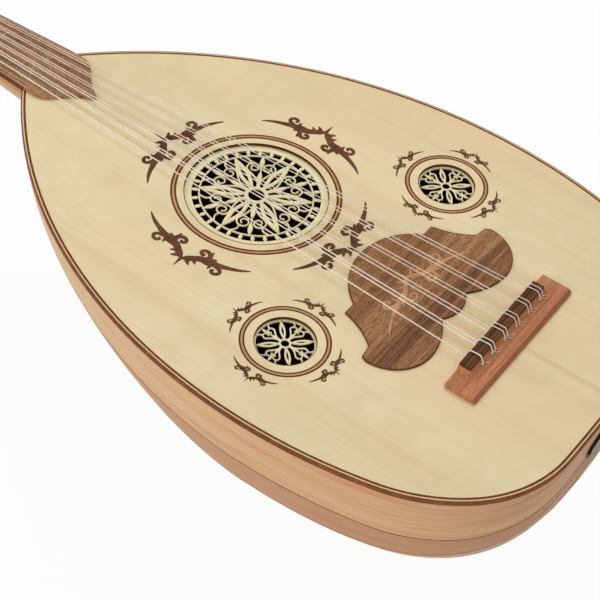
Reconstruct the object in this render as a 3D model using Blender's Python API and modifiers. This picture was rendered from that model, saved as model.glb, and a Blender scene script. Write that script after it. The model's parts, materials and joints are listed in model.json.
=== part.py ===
"""Arabic oud: a short-necked lute with a ribbed bowl, three rosettes and a bent-back pegbox.

Metres, +Z up. The oud lies on its back: X runs from the bass side to the treble side, Y from
the tail to the pegbox, and Z is square to the soundboard. The origin is on the small flat
under the middle rib, where the bowl touches a table. The end of the pegbox touches it too.
"""
import math

import bmesh
import bpy
import numpy as np
from mathutils import Vector
from mathutils.geometry import delaunay_2d_cdt

# Fits
GAP = 0.0003                 # clearance between pieces that are glued or rest on each other

# Face outline: tangent arcs from the middle of the tail to the neck
TAIL_REACH = 0.195           # tail edge to the deepest place of the bowl
TAIL_RADIUS = 1.736
TAIL_TURN = 2.1              # degrees
CORNER_RADIUS = 0.0978
CORNER_TURN = 44.6
HIP_RADIUS = 0.1321
HIP_TURN = 28.5
SHOULDER_RADIUS = 0.4119
HEEL_HALF_WIDTH = 0.0289     # half width of the neck where it meets the body
ARC_STEPS = 11               # points along each arc of an outline

# Bowl
BOWL_DEPTH = 0.194           # soundboard top to the seam circle under the middle of the bowl
HEEL_DEPTH = 0.033           # the same at the neck joint
TAIL_FULLNESS = 3.05         # exponent of the superellipse from the deepest place to the tail
NECK_FALL = 1.51             # exponent of the curve from the deepest place to the neck
RIB_COUNT = 11
RIB_THICKNESS = 0.003
RIB_CROWN = 0.6              # 0 is a flat rib, 1 follows the round of the bowl
TAIL_POLE_DROP = 0.0204      # ribs meet this far below the soundboard at the tail
NECK_POLE_RISE = 0.010       # and this far above it at the neck
TAIL_FACE_DEPTH = 0.033      # ribs run flat to their meeting point from here
POLE_RADIUS = 0.005          # circle on which the ribs end, under the clasp
RIB_MIN_WIDTH = 0.0015       # what is left of the rim ribs beside the neck
REST_FLAT = 0.0005           # depth of the small flat under the middle rib
TAIL_ROWS = 10
NECK_ROWS = 10

# Soundboard, its edge and its braces
BOARD_THICKNESS = 0.0020
EDGE_WIDTH = 0.0044
EDGE_HEIGHT = 0.0037
EDGE_LEDGE = 0.0030          # lip under the soundboard
BRACE_WIDTH = 0.006
BRACE_HEIGHT = 0.013
BRACE_TOE = 0.022            # length of the slope at each end of a brace
BRACE_END_HEIGHT = 0.004
BRACE_MARGIN = 0.006         # from a rosette or the bridge to the next brace

# Rosettes
ROSETTE_FROM_NECK = 0.2058   # neck joint to the centre of the main rosette
MAIN_HOLE_RADIUS = 0.0533
MAIN_FRET_RADIUS = 0.0478
MAIN_FIELD_RADIUS = 0.0416   # fretwork inside the ring of beads
SMALL_HOLE_RADIUS = 0.0213
SMALL_FIELD_RADIUS = 0.0200
SMALL_SIDE = 0.1019          # small rosettes from the centreline
SMALL_BACK = 0.1018          # and towards the tail from the main rosette
ROSETTE_LAP = 0.005          # how far a disc is glued under the soundboard
ROSETTE_THICKNESS = 0.0015
BEAD_COUNT = 32
BEAD_SLOT = 0.55             # share of the ring of beads that is open
MAIN_LEAVES = 6
SMALL_LEAVES = 4
MAIN_LINE = 0.0013           # width of the carved lines
SMALL_LINE = 0.0010

# Neck, fingerboard and nut
NECK_LENGTH = 0.1939
NUT_HALF_WIDTH = 0.0185
NECK_END_DEPTH = 0.021
NECK_BLOCK_LENGTH = 0.042
FINGERBOARD_THICKNESS = 0.0022
NUT_THICKNESS = 0.004
NUT_PROUD = 0.0008           # nut above the fingerboard
NUT_SHOULDER = 0.002
# Right half of the fingerboard's tongue, from the neck joint towards the tail
TONGUE = ((0.0289, 0.0121), (0.0279, 0.0185), (0.0254, 0.0229), (0.0191, 0.0286),
          (0.0127, 0.0343), (0.0064, 0.0413), (0.0019, 0.0490), (0.0, 0.0509))

# Pegbox: its length follows from the bend, so that its end touches the table
PEGBOX_BEND = math.radians(54.5)
PEGBOX_END_HALF_WIDTH = 0.0105
PEGBOX_END_DEPTH = 0.017
CHEEK_THICKNESS = 0.0042
PEGBOX_BACK_THICKNESS = 0.004
END_BLOCK_LENGTH = 0.012

# Pegs
PEG_COUNT = 11
PEG_FIRST = 0.030            # nut to the first peg, along the pegbox
PEG_LAST = 0.025             # last peg to the end of the pegbox
PEG_HEIGHT = 0.46            # place of a peg in the pegbox's depth, as a share from its front
PEG_HEAD_SIDE_RADIUS = 0.0042
PEG_TIP_RADIUS = 0.0034
PEG_CLEARANCE = 0.0003
PEG_STEM = 0.010             # bare shank between cheek and head
PEG_COLLAR_RADIUS = 0.0053
PEG_TIP_PROUD = 0.0015
PEG_HEAD_LENGTH = 0.022
PEG_HEAD_WIDTH = 0.017
PEG_HEAD_THICKNESS = 0.0065
PEG_SIDES = 10

# Bridge
SCALE_LENGTH = 0.6060        # nut to the front of the bridge
BRIDGE_HALF_LENGTH = 0.0654
BRIDGE_DEPTH = 0.0240
BRIDGE_HEIGHT = 0.0080
BRIDGE_WING_HEIGHT = 0.0034
BRIDGE_BEVEL = 0.0022        # width of the step along the back edge
BRIDGE_BACK_HEIGHT = 0.0018
BRIDGE_COVE = 0.0070         # length of the hollow between the cap's end and the wing
CAP_HALF_LENGTH = 0.0492
CAP_DEPTH = 0.0090
CAP_THICKNESS = 0.0018
CAP_BEVEL = 0.0005
TIE_HOLE_RADIUS = 0.0008
TIE_HOLE_HEIGHT = 0.0058     # above the soundboard

# Strings, bass to treble: one single string and five pairs
STRING_RADII = (0.00050, 0.00045, 0.00045, 0.00040, 0.00040, 0.00036,
                0.00036, 0.00036, 0.00036, 0.00033, 0.00033)
COURSE_PLACES = (-0.0375, -0.0232, -0.0068, 0.0087, 0.0250, 0.0412)
COURSE_SPACING = 0.0036      # between the two strings of a pair, at the bridge
NUT_SPREAD = 0.0128          # half the spread of the strings at the nut
NUT_PAIR_SPACING = 0.0018
WINDING_TURNS = 2
WINDING_STEPS = 8            # points of a turn
WINDING_GAP = 0.0005         # between neighbouring turns
BASS_STRINGS = 6             # strings on pegs whose heads are on the bass side

# Pickguard, from the centre of the main rosette towards the tail
PICKGUARD_THICKNESS = 0.0010
GUARD_TOP = 0.0943
GUARD_TOP_RADIUS = 0.0530
GUARD_SHOULDER = 0.0445      # half width where the top arc meets the shoulder
GUARD_SHOULDER_HALF_WIDTH = 0.0551
GUARD_HORN_HALF_WIDTH = 0.0797
GUARD_HORN = 0.1498
GUARD_LOBE_SIDE = 0.0498     # centre of the big lobe from the centreline
GUARD_LOBE = 0.1537
GUARD_LOBE_RADIUS = 0.03175
GUARD_SKIRT_RADIUS = 0.0506
GUARD_CUSP_HALF_WIDTH = 0.0159
GUARD_TIP_RADIUS = 0.0249

# End clasp: half widths and depths below the soundboard, from its top to its lower point
CLASP_THICKNESS = 0.0018
CLASP_OUTLINE = ((0.0030, 0.0090), (0.0193, 0.0143), (0.0294, 0.0195), (0.0312, 0.0250),
                 (0.0305, 0.0307), (0.0240, 0.0345), (0.0161, 0.0389), (0.0049, 0.0459),
                 (0.0010, 0.0470))
CLASP_COLUMNS = 7
TAIL_BLOCK_LENGTH = 0.016

RIB_ANGLE = math.pi / RIB_COUNT
SEAM_SAG = BOWL_DEPTH * (1.0 - math.cos(RIB_ANGLE / 2))
ROUND_SAG = BOWL_DEPTH * (1.0 - math.cos(RIB_ANGLE / 6))
LOWEST = BOWL_DEPTH - SEAM_SAG + RIB_CROWN * (SEAM_SAG - ROUND_SAG)
TOP = LOWEST - REST_FLAT               # height of the soundboard's upper face
TAIL_Y = -TAIL_REACH
RIM_DEPTH = EDGE_HEIGHT + GAP          # upper edge of the ribs, below the soundboard's face
PEGBOX_LENGTH = (TOP - PEGBOX_END_DEPTH * math.cos(PEGBOX_BEND)) / math.sin(PEGBOX_BEND)
PEG_PITCH = (PEGBOX_LENGTH - PEG_FIRST - PEG_LAST) / (PEG_COUNT - 1)


def clear_scene():
    """Remove what the scene holds."""
    for obj in list(bpy.data.objects):
        bpy.data.objects.remove(obj, do_unlink=True)


clear_scene()
PARTS = bpy.data.collections.new("arabic_oud")
CUTTERS = bpy.data.collections.new("cutters")
for group in (PARTS, CUTTERS):
    bpy.context.scene.collection.children.link(group)


def finish(name, color, roughness, metallic=0.0):
    """A plain finish for the pieces that share it."""
    material = bpy.data.materials.new(name)
    material.use_nodes = True
    shader = material.node_tree.nodes["Principled BSDF"]
    shader.inputs["Base Color"].default_value = (*color, 1.0)
    shader.inputs["Roughness"].default_value = roughness
    shader.inputs["Metallic"].default_value = metallic
    return material


SPRUCE = finish("spruce", (0.72, 0.58, 0.36), 0.45)
RIB_WOOD = finish("rib_wood", (0.55, 0.32, 0.17), 0.40)
NECK_WOOD = finish("neck_wood", (0.50, 0.30, 0.17), 0.45)
DARK_WOOD = finish("dark_wood", (0.12, 0.05, 0.025), 0.40)
BROWN_WOOD = finish("brown_wood", (0.28, 0.15, 0.08), 0.45)
BRIDGE_WOOD = finish("bridge_wood", (0.40, 0.17, 0.08), 0.45)
BONE = finish("bone", (0.75, 0.70, 0.58), 0.35)
NYLON = finish("nylon", (0.80, 0.76, 0.68), 0.30)
CLASP_WOOD = finish("clasp_wood", (0.30, 0.22, 0.17), 0.40)


def add_object(name, mesh, material, group=PARTS):
    """Put a mesh into the scene as one named piece."""
    obj = bpy.data.objects.new(name, mesh)
    group.objects.link(obj)
    if material is not None:
        mesh.materials.append(material)
    if group is CUTTERS:
        obj.hide_render = True
        obj.display_type = "WIRE"
    return obj


def mesh_from(bm, name):
    """Turn a bmesh into a mesh whose faces point outwards."""
    bmesh.ops.recalc_face_normals(bm, faces=bm.faces)
    mesh = bpy.data.meshes.new(name)
    bm.to_mesh(mesh)
    bm.free()
    return mesh


def shade(obj, angle=35.0):
    """Smooth the round faces and keep the edges sharper than the angle."""
    obj.data.shade_smooth()
    obj.data.set_sharp_from_angle(angle=math.radians(angle))
    return obj


def loft(name, sections, material, group=PARTS):
    """Close a skin over rings of points that have equal counts, with a cap at each end.

    Its faces fold along their shorter diagonals, so two skins that follow each other fold alike.
    """
    bm = bmesh.new()
    rings = [[bm.verts.new(point) for point in section] for section in sections]
    count = len(rings[0])
    for low, high in zip(rings, rings[1:]):
        for i in range(count):
            j = (i + 1) % count
            bm.faces.new((low[i], low[j], high[j], high[i]))
    bmesh.ops.triangulate(bm, faces=bm.faces, quad_method="SHORT_EDGE")
    bm.faces.new(rings[0][::-1])
    bm.faces.new(rings[-1])
    return add_object(name, mesh_from(bm, name), material, group)


def curve_to_mesh(obj, name, material):
    """Replace a curve object by its mesh, with its loose caps welded."""
    bpy.context.view_layer.update()
    depsgraph = bpy.context.evaluated_depsgraph_get()
    mesh = bpy.data.meshes.new_from_object(obj.evaluated_get(depsgraph))
    placed = obj.matrix_world.copy()
    curve = obj.data
    bpy.data.objects.remove(obj, do_unlink=True)
    bpy.data.curves.remove(curve)
    bm = bmesh.new()
    bm.from_mesh(mesh)
    bpy.data.meshes.remove(mesh)
    bmesh.ops.remove_doubles(bm, verts=bm.verts, dist=0.00001)
    solid = add_object(name, mesh_from(bm, name), material)
    solid.matrix_world = placed
    return solid


def plate(name, outlines, low, thickness, material):
    """A flat plate: the first outline is its edge and the others are its holes."""
    curve = bpy.data.curves.new(name, "CURVE")
    curve.dimensions = "2D"
    curve.fill_mode = "BOTH"
    curve.extrude = thickness / 2
    for outline in outlines:
        spline = curve.splines.new("POLY")
        spline.points.add(len(outline) - 1)
        for point, (x, y) in zip(spline.points, outline):
            point.co = (x, y, 0.0, 1.0)
        spline.use_cyclic_u = True
    obj = bpy.data.objects.new(name + "_outline", curve)
    PARTS.objects.link(obj)
    obj.location.z = low + thickness / 2
    return curve_to_mesh(obj, name, material)


def tube(name, points, radius, material):
    """A string along its points, closed at both ends."""
    curve = bpy.data.curves.new(name, "CURVE")
    curve.dimensions = "3D"
    curve.bevel_depth = radius
    curve.bevel_resolution = 1
    curve.use_fill_caps = True
    spline = curve.splines.new("POLY")
    spline.points.add(len(points) - 1)
    for point, place in zip(spline.points, points):
        point.co = (*place, 1.0)
    obj = bpy.data.objects.new(name + "_route", curve)
    PARTS.objects.link(obj)
    return curve_to_mesh(obj, name, material)


def add_cylinder(bm, start, end, radius, sides):
    """Add a cylinder between two points to a bmesh."""
    start, end = Vector(start), Vector(end)
    axis = end - start
    made = bmesh.ops.create_cone(bm, cap_ends=True, segments=sides, radius1=radius,
                                 radius2=radius, depth=axis.length)
    turn = axis.to_track_quat("Z", "Y").to_matrix().to_4x4()
    bmesh.ops.transform(bm, matrix=turn, verts=made["verts"])
    bmesh.ops.translate(bm, vec=(start + end) / 2, verts=made["verts"])


def cut(obj, cutter):
    """Take the cutter's space out of a piece."""
    boolean = obj.modifiers.new("cut_" + cutter.name, "BOOLEAN")
    boolean.operation = "DIFFERENCE"
    boolean.object = cutter


def arc(centre, radius, first, last, steps):
    """Points of an arc between two angles in degrees."""
    angles = np.radians(np.linspace(first, last, steps))
    return np.asarray(centre) + radius * np.column_stack([np.cos(angles), np.sin(angles)])


def circle(centre, radius, count):
    """Points of a whole circle."""
    return arc(centre, radius, 0.0, 360.0, count + 1)[:-1]


def both_sides(right):
    """Close an outline whose right half runs between two points of the centreline."""
    right = np.asarray(right, float)
    left = right[-2:0:-1] * np.array([-1.0, 1.0])
    return np.vstack([right, left])


def face_arcs():
    """The arcs of the face on the treble side: centre, radius, first and last heading."""
    arcs = []
    point = np.array([0.0, TAIL_Y])
    heading = 0.0
    for radius, turn in ((TAIL_RADIUS, TAIL_TURN), (CORNER_RADIUS, CORNER_TURN),
                         (HIP_RADIUS, HIP_TURN), (SHOULDER_RADIUS, None)):
        centre = point + radius * np.array([-math.sin(heading), math.cos(heading)])
        if turn is None:
            last = math.pi - math.asin((HEEL_HALF_WIDTH - centre[0]) / radius)
        else:
            last = heading + math.radians(turn)
        arcs.append((centre, radius, heading, last))
        point = centre + radius * np.array([math.sin(last), -math.cos(last)])
        heading = last
    return arcs


FACE_ARCS = face_arcs()
FINE_STEPS = 120


def half_face(inset, steps=ARC_STEPS):
    """Points of the treble side from the tail to the neck, moved inwards by the inset."""
    points = []
    for centre, radius, first, last in FACE_ARCS:
        headings = np.linspace(first, last, steps)
        stretch = centre + (radius - inset) * np.column_stack([np.sin(headings), -np.cos(headings)])
        points.append(stretch if not points else stretch[1:])
    return np.vstack(points)


def whole_face(inset):
    """The closed outline of the face, counterclockwise from the tail."""
    right = half_face(inset)
    left = right[::-1] * np.array([-1.0, 1.0])
    return np.vstack([right, left[:-1]])


NECK_Y = float(half_face(0.0)[-1][1])
ROSETTE_Y = NECK_Y - ROSETTE_FROM_NECK
NUT_Y = NECK_Y + NECK_LENGTH
BRIDGE_Y = NUT_Y - SCALE_LENGTH        # front edge of the bridge


def half_width(y, inward=0.0, steps=FINE_STEPS):
    """Half the width of the face at a place along the body, inside an inset."""
    line = half_face(inward, steps)
    return np.interp(y, line[:, 1], line[:, 0])


def bowl_depth(y, inward=0.0):
    """Depth of the bowl's skin along the centreline, for a skin that lies inward of the outside."""
    tailward = np.clip(-y / (TAIL_REACH - inward), 0.0, 1.0)
    neckward = np.clip(y / NECK_Y, 0.0, 1.0)
    tail = (BOWL_DEPTH - inward) * (1.0 - tailward ** TAIL_FULLNESS) ** (1.0 / TAIL_FULLNESS)
    neck = HEEL_DEPTH - inward + (BOWL_DEPTH - HEEL_DEPTH) * (1.0 - neckward ** NECK_FALL)
    return np.where(y < 0.0, tail, neck)


def pole_drop(y):
    """How far below the soundboard the planes of the rib seams cross."""
    tailward = np.clip(-y / TAIL_REACH, 0.0, 1.0)
    neckward = np.clip(y / NECK_Y, 0.0, 1.0)
    return TAIL_POLE_DROP * tailward ** 2 - NECK_POLE_RISE * neckward


def bowl_point(y, angle, inward=0.0):
    """A point of the bowl on the bass side, in the seam plane at an angle below the soundboard."""
    wide, deep, drop = half_width(y, inward), bowl_depth(y, inward), pole_drop(y)
    c, s = math.cos(angle), math.sin(angle)
    a = c * c / wide ** 2 + s * s / deep ** 2
    b = drop * s / deep ** 2
    reach = (-b + math.sqrt(b * b - a * (drop ** 2 / deep ** 2 - 1.0))) / a
    return np.array([-reach * c, y, TOP - drop - reach * s])


def rim_point(y, height, inward=0.0):
    """A point of the bowl on the bass side at a height below the soundboard."""
    wide, deep = half_width(y, inward), bowl_depth(y, inward)
    return np.array([-wide * math.sqrt(1.0 - (height / deep) ** 2), y, TOP - height])


def tail_face_y(x, depth):
    """Where the bowl's outside lies at the tail, by halving the stretch that holds it."""
    outside, inside = TAIL_Y, 0.5 * TAIL_Y
    for _ in range(40):
        middle = (outside + inside) / 2
        wide, deep = half_width(middle), bowl_depth(middle)
        if (x * deep) ** 2 + (depth * wide) ** 2 < (wide * deep) ** 2:
            inside = middle
        else:
            outside = middle
    return inside


def rib_rows():
    """Places along the body where the ribs have a section, closer together at the tail."""
    last = math.acos((TAIL_FACE_DEPTH / BOWL_DEPTH) ** (TAIL_FULLNESS / 2))
    tail = [TAIL_Y * math.sin(turn) ** (2 / TAIL_FULLNESS) for turn in np.linspace(last, 0.0, TAIL_ROWS)]
    neck = (NECK_Y - GAP) * np.linspace(0.0, 1.0, NECK_ROWS + 1)[1:] ** 1.3
    return tail + [float(y) for y in neck]


def inside_y(y, inward):
    """The place along the body where an inner skin matches a row of the outer one."""
    return y * (1.0 - inward / TAIL_REACH) if y < 0.0 else y


def seam_point(y, angle, inward):
    """A corner of a rib: on a seam, or on the rim for the first angle."""
    y = inside_y(y, inward)
    if angle <= 0.0:
        return rim_point(y, RIM_DEPTH, inward)
    point = bowl_point(y, angle, inward)
    if TOP - point[2] < RIM_DEPTH + RIB_MIN_WIDTH:
        point = rim_point(y, RIM_DEPTH + RIB_MIN_WIDTH, inward)
    return point


def apart(a, b, first):
    """Draw two corners together by half a gap on each side that has a neighbouring rib."""
    along = (b - a) / np.linalg.norm(b - a)
    near = a + along * GAP / 2 if first > 0.0 else a
    return near, b - along * GAP / 2


def rib_section(y, first, last):
    """One ring round a rib: four points outside and two inside, between two seam angles."""
    a, b = apart(seam_point(y, first, 0.0), seam_point(y, last, 0.0), first)
    a_in, b_in = apart(seam_point(y, first, RIB_THICKNESS), seam_point(y, last, RIB_THICKNESS), first)
    pole_z = TOP - pole_drop(y)
    low_angle = math.atan2(pole_z - a[2], -a[0])
    high_angle = math.atan2(pole_z - b[2], -b[0])
    ring = [a]
    for part in (1 / 3, 2 / 3):
        chord = a + (b - a) * part
        round_point = bowl_point(y, low_angle + (high_angle - low_angle) * part)
        ring.append(chord + (round_point - chord) * RIB_CROWN)
    return ring + [b, b_in, a_in]


def rib_end(first, last):
    """The ring where a rib ends at the tail, on the small circle under the clasp."""
    def on_circle(angle):
        return -POLE_RADIUS * math.cos(angle), TAIL_POLE_DROP + POLE_RADIUS * math.sin(angle)

    if first > 0.0:
        places = [on_circle(angle) for angle in np.linspace(first, last, 4)]
    else:
        up = -math.pi / 2
        places = [(0.0, RIM_DEPTH), on_circle(up), on_circle((up + last) / 2), on_circle(last)]
    points = [np.array([min(x, -GAP / 2) if first <= 0.0 else x, 0.0, TOP - depth]) for x, depth in places]
    points[0], points[3] = apart(points[0], points[3], first)
    for point in points:
        point[1] = tail_face_y(point[0], TOP - point[2])
    inward = np.array([0.0, RIB_THICKNESS, 0.0])
    return points + [points[3] + inward, points[0] + inward]


def build_ribs():
    """The ribs of the bowl. The treble side mirrors the bass side."""
    floor = bmesh.new()
    bmesh.ops.create_cube(floor, size=2 * TAIL_REACH)
    bmesh.ops.translate(floor, vec=(0.0, 0.0, -TAIL_REACH), verts=floor.verts)
    floor = add_object("rest_flat", mesh_from(floor, "rest_flat"), None, CUTTERS)
    for i in range(RIB_COUNT):
        k = min(i, RIB_COUNT - 1 - i)
        side = 1.0 if k == i else -1.0
        first, last = k * RIB_ANGLE, (k + 1) * RIB_ANGLE
        sections = [rib_end(first, last)] + [rib_section(y, first, last) for y in rib_rows()]
        sections = [[(side * x, y, z) for x, y, z in section] for section in sections]
        rib = loft(f"rib_{i + 1:02d}", sections, RIB_WOOD)
        if min(z for section in sections for x, y, z in section) < 0.0:
            cut(rib, floor)
        shade(rib, 25.0)


def rosette_places():
    """Name, centre and hole radius of each rosette."""
    small_y = ROSETTE_Y - SMALL_BACK
    return (("rosette_main", (0.0, ROSETTE_Y), MAIN_HOLE_RADIUS),
            ("rosette_bass", (-SMALL_SIDE, small_y), SMALL_HOLE_RADIUS),
            ("rosette_treble", (SMALL_SIDE, small_y), SMALL_HOLE_RADIUS))


def build_soundboard():
    """The soundboard with its three soundholes, inside the edge binding."""
    outlines = [whole_face(EDGE_WIDTH + GAP)]
    for name, centre, hole in rosette_places():
        outlines.append(circle(centre, hole, 48 if name == "rosette_main" else 24))
    shade(plate("soundboard", outlines, TOP - BOARD_THICKNESS, BOARD_THICKNESS, SPRUCE))


def build_edge_binding():
    """The binding round the face, with a lip that the soundboard rests on."""
    lip = BOARD_THICKNESS + GAP
    profile = ((0.0, 0.0), (EDGE_WIDTH, 0.0), (EDGE_WIDTH, lip), (EDGE_WIDTH + EDGE_LEDGE, lip),
               (EDGE_WIDTH + EDGE_LEDGE, EDGE_HEIGHT), (0.0, EDGE_HEIGHT))
    bm = bmesh.new()
    strips = [[bm.verts.new((x, y, TOP - down)) for x, y in whole_face(inset)] for inset, down in profile]
    count = len(strips[0])
    for near, far in zip(strips, strips[1:] + strips[:1]):
        for i in range(count):
            j = (i + 1) % count
            bm.faces.new((near[i], near[j], far[j], far[i]))
    shade(add_object("edge_binding", mesh_from(bm, "edge_binding"), DARK_WOOD))


def brace_places():
    """The braces from the neck to the tail, each clear of the rosettes, the bridge and the block."""
    away = BRACE_MARGIN + BRACE_WIDTH / 2
    main_reach = MAIN_HOLE_RADIUS + ROSETTE_LAP + away
    small_reach = SMALL_HOLE_RADIUS + ROSETTE_LAP + away
    above = ROSETTE_Y + main_reach
    first = (above + NECK_Y - NECK_BLOCK_LENGTH) / 2
    return (first, above, ROSETTE_Y - main_reach, ROSETTE_Y - SMALL_BACK - small_reach,
            BRIDGE_Y - BRIDGE_DEPTH - away)


def build_braces():
    """Bars glued under the soundboard, across its grain."""
    top = TOP - BOARD_THICKNESS - GAP
    for i, y in enumerate(brace_places()):
        ends = (y - BRACE_WIDTH / 2, y + BRACE_WIDTH / 2)
        reach = min(half_width(end, EDGE_WIDTH + EDGE_LEDGE, ARC_STEPS) for end in ends) - 2 * GAP
        outline = ((-reach, 0.0), (reach, 0.0), (reach, -BRACE_END_HEIGHT),
                   (reach - BRACE_TOE, -BRACE_HEIGHT),
                   (-reach + BRACE_TOE, -BRACE_HEIGHT), (-reach, -BRACE_END_HEIGHT))
        loft(f"brace_{i + 1}", [[(x, end, top + z) for x, z in outline] for end in ends], SPRUCE)


def turned(points, degrees):
    """Points turned counterclockwise round the origin."""
    c, s = math.cos(math.radians(degrees)), math.sin(math.radians(degrees))
    return np.asarray(points) @ np.array([[c, s], [-s, c]])


def strand(line, widths):
    """The outline of a carved line: its centreline moved to both sides by half its width."""
    line = np.asarray(line, float)
    ahead = np.gradient(line, axis=0)
    ahead /= np.linalg.norm(ahead, axis=1)[:, None]
    aside = np.column_stack([-ahead[:, 1], ahead[:, 0]]) * np.broadcast_to(widths, len(line))[:, None] / 2
    return np.vstack([line + aside, (line - aside)[::-1]])


def leaf(low, high, half, count):
    """An almond outline on the +Y axis: its half width is a sine over its length."""
    part = np.linspace(0.0, 1.0, count)
    side = np.column_stack([half * np.sin(np.pi * part), low + (high - low) * part])
    return both_sides(side)


def scroll(line_width, last_turn, steps):
    """A scroll beside the +Y axis: a stem from the hub that ends in a spiral and a small knob."""
    stem = np.array([(0.010, 0.17), (0.030, 0.35), (0.115, 0.485)])
    turn = np.radians(np.linspace(-38.0, last_turn, steps))
    radius = 0.132 - 0.090 * (turn - turn[0]) / math.radians(450.0)
    spiral = np.array([0.134, 0.70]) + radius[:, None] * np.column_stack([np.cos(turn), np.sin(turn)])
    widths = np.concatenate([[1.3, 1.2, 1.2], np.linspace(1.2, 0.9, steps - 1), [1.8]]) * line_width
    return strand(np.vstack([stem, spiral]), widths)


def fretwork(leaves, line_width, last_turn, steps, ends):
    """Leaves and paired scrolls in a circle of radius 1: outlines of wood, and slits in the leaves."""
    wood, slits = [], []
    mirror = np.array([-1.0, 1.0])
    for k in range(leaves):
        axis = 360.0 * k / leaves
        between = axis + 180.0 / leaves
        wood.append(turned(leaf(0.14, 1.03, 0.105, ends + 2), between))
        slits.append(turned(leaf(0.34, 0.78, 0.036, ends), between))
        curl = scroll(line_width, last_turn, steps)
        tendril = strand([(0.20, 0.80), (0.24, 0.89), (0.35, 0.955)],
                         (1.2 * line_width, line_width, line_width))
        for piece in (curl, tendril):
            wood += [turned(piece, axis), turned(piece * mirror, axis)]
        wood.append(turned(leaf(0.30, 0.62, 0.042, ends), axis))
        wood.append(turned(strand([(0.0, 0.55), (0.0, 0.75)], line_width), axis))
        wood.append(turned(leaf(0.68, 1.03, 0.045, ends), axis))
    wood.append(circle((0.0, 0.0), 0.215, 3 * leaves))
    slits.append(circle((0.0, 0.0), 0.145, 3 * leaves))
    return wood, slits


def bead_slots():
    """The square openings between the beads round the main rosette's fretwork."""
    slots = []
    outer, inner = MAIN_FRET_RADIUS, MAIN_FIELD_RADIUS + MAIN_LINE
    half = BEAD_SLOT * 180.0 / BEAD_COUNT
    for k in range(BEAD_COUNT):
        centre = 360.0 * (k + 0.5) / BEAD_COUNT
        corners = ((inner, -half), (outer, -half), (outer, half), (inner, half))
        slots.append(np.array([turned((r, 0.0), centre + turn) for r, turn in corners]))
    return slots


def counterclockwise(outline):
    """The outline, turned about where it runs clockwise."""
    x, y = np.transpose(outline)
    area = np.dot(x, np.roll(y, -1)) - np.dot(y, np.roll(x, -1))
    return outline if area > 0.0 else outline[::-1]


def pierced_disc(name, centre, rim, openings, wood, slits, material):
    """A thin disc: openings are cut first, wood bridges them, and slits are cut last."""
    outlines = [counterclockwise(outline) for outline in [rim] + openings + wood + slits]
    points, faces = [], []
    for outline in outlines:
        faces.append(list(range(len(points), len(points) + len(outline))))
        points += [Vector(point) for point in outline]
    first_wood, first_slit = 1 + len(openings), 1 + len(openings) + len(wood)
    verts, edges, pieces, _, _, owners = delaunay_2d_cdt(points, [], faces, 0, 1e-6, True)
    bm = bmesh.new()
    low = TOP - BOARD_THICKNESS - GAP - ROSETTE_THICKNESS
    corners = [bm.verts.new((v[0] + centre[0], v[1] + centre[1], low)) for v in verts]
    for piece, inside in zip(pieces, owners):
        is_slit = any(k >= first_slit for k in inside)
        is_wood = any(first_wood <= k < first_slit for k in inside)
        is_open = any(1 <= k < first_wood for k in inside)
        if not is_slit and (is_wood or (0 in inside and not is_open)):
            bm.faces.new([corners[k] for k in piece])
    bmesh.ops.delete(bm, geom=[v for v in bm.verts if not v.link_faces], context="VERTS")
    bmesh.ops.dissolve_limit(bm, angle_limit=0.001, verts=bm.verts, edges=bm.edges)
    for face in bm.faces:
        if face.normal.z < 0.0:
            face.normal_flip()
    mesh = bpy.data.meshes.new(name)
    bm.to_mesh(mesh)
    bm.free()
    disc = add_object(name, mesh, material)
    solidify = disc.modifiers.new("thickness", "SOLIDIFY")
    solidify.thickness = ROSETTE_THICKNESS
    solidify.offset = 1.0
    return disc


def build_rosettes():
    """Pierced discs glued under the soundholes: leaves and scrolls, with beads round the main one."""
    for name, centre, hole in rosette_places():
        main = name == "rosette_main"
        field = MAIN_FIELD_RADIUS if main else SMALL_FIELD_RADIUS
        line = (MAIN_LINE if main else SMALL_LINE) / field
        leaves = MAIN_LEAVES if main else SMALL_LEAVES
        wood, slits = fretwork(leaves, line, 410.0, 9, 6) if main else fretwork(leaves, line, 230.0, 5, 4)
        rim = circle((0.0, 0.0), hole + ROSETTE_LAP, 36 if main else 20)
        openings = [circle((0.0, 0.0), field, 48 if main else 24)]
        if main:
            openings += bead_slots()
        pierced_disc(name, centre, rim, openings, [field * piece for piece in wood],
                     [field * piece for piece in slits], SPRUCE)


def build_neck():
    """The neck, a half round under a flat top, from the body to the mitre with the pegbox."""
    start, end = NECK_Y + GAP, NUT_Y
    lean = math.tan(PEGBOX_BEND / 2)
    sections = []
    for part in np.linspace(0.0, 1.0, 9):
        wide = HEEL_HALF_WIDTH + (NUT_HALF_WIDTH - HEEL_HALF_WIDTH) * part
        deep = HEEL_DEPTH + (NECK_END_DEPTH - HEEL_DEPTH) * (1.0 - (1.0 - part) ** 2)
        ring = []
        for angle in np.linspace(0.0, math.pi, 13):
            z = -deep * math.sin(angle)
            y = start + (end - start) * part + z * lean * part ** 3
            ring.append((wide * math.cos(angle), y, TOP + z))
        sections.append(ring)
    shade(loft("neck", sections, NECK_WOOD))


def inner_ring(y):
    """The inside of the ribs at one of their rows, as a ring closed along their upper edge."""
    inward = RIB_THICKNESS + 2 * GAP
    left = [seam_point(y, k * RIB_ANGLE, inward) for k in range(RIB_COUNT // 2 + 1)]
    right = [point * np.array([-1.0, 1.0, 1.0]) for point in left[::-1]]
    return np.array(left + right)


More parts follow.
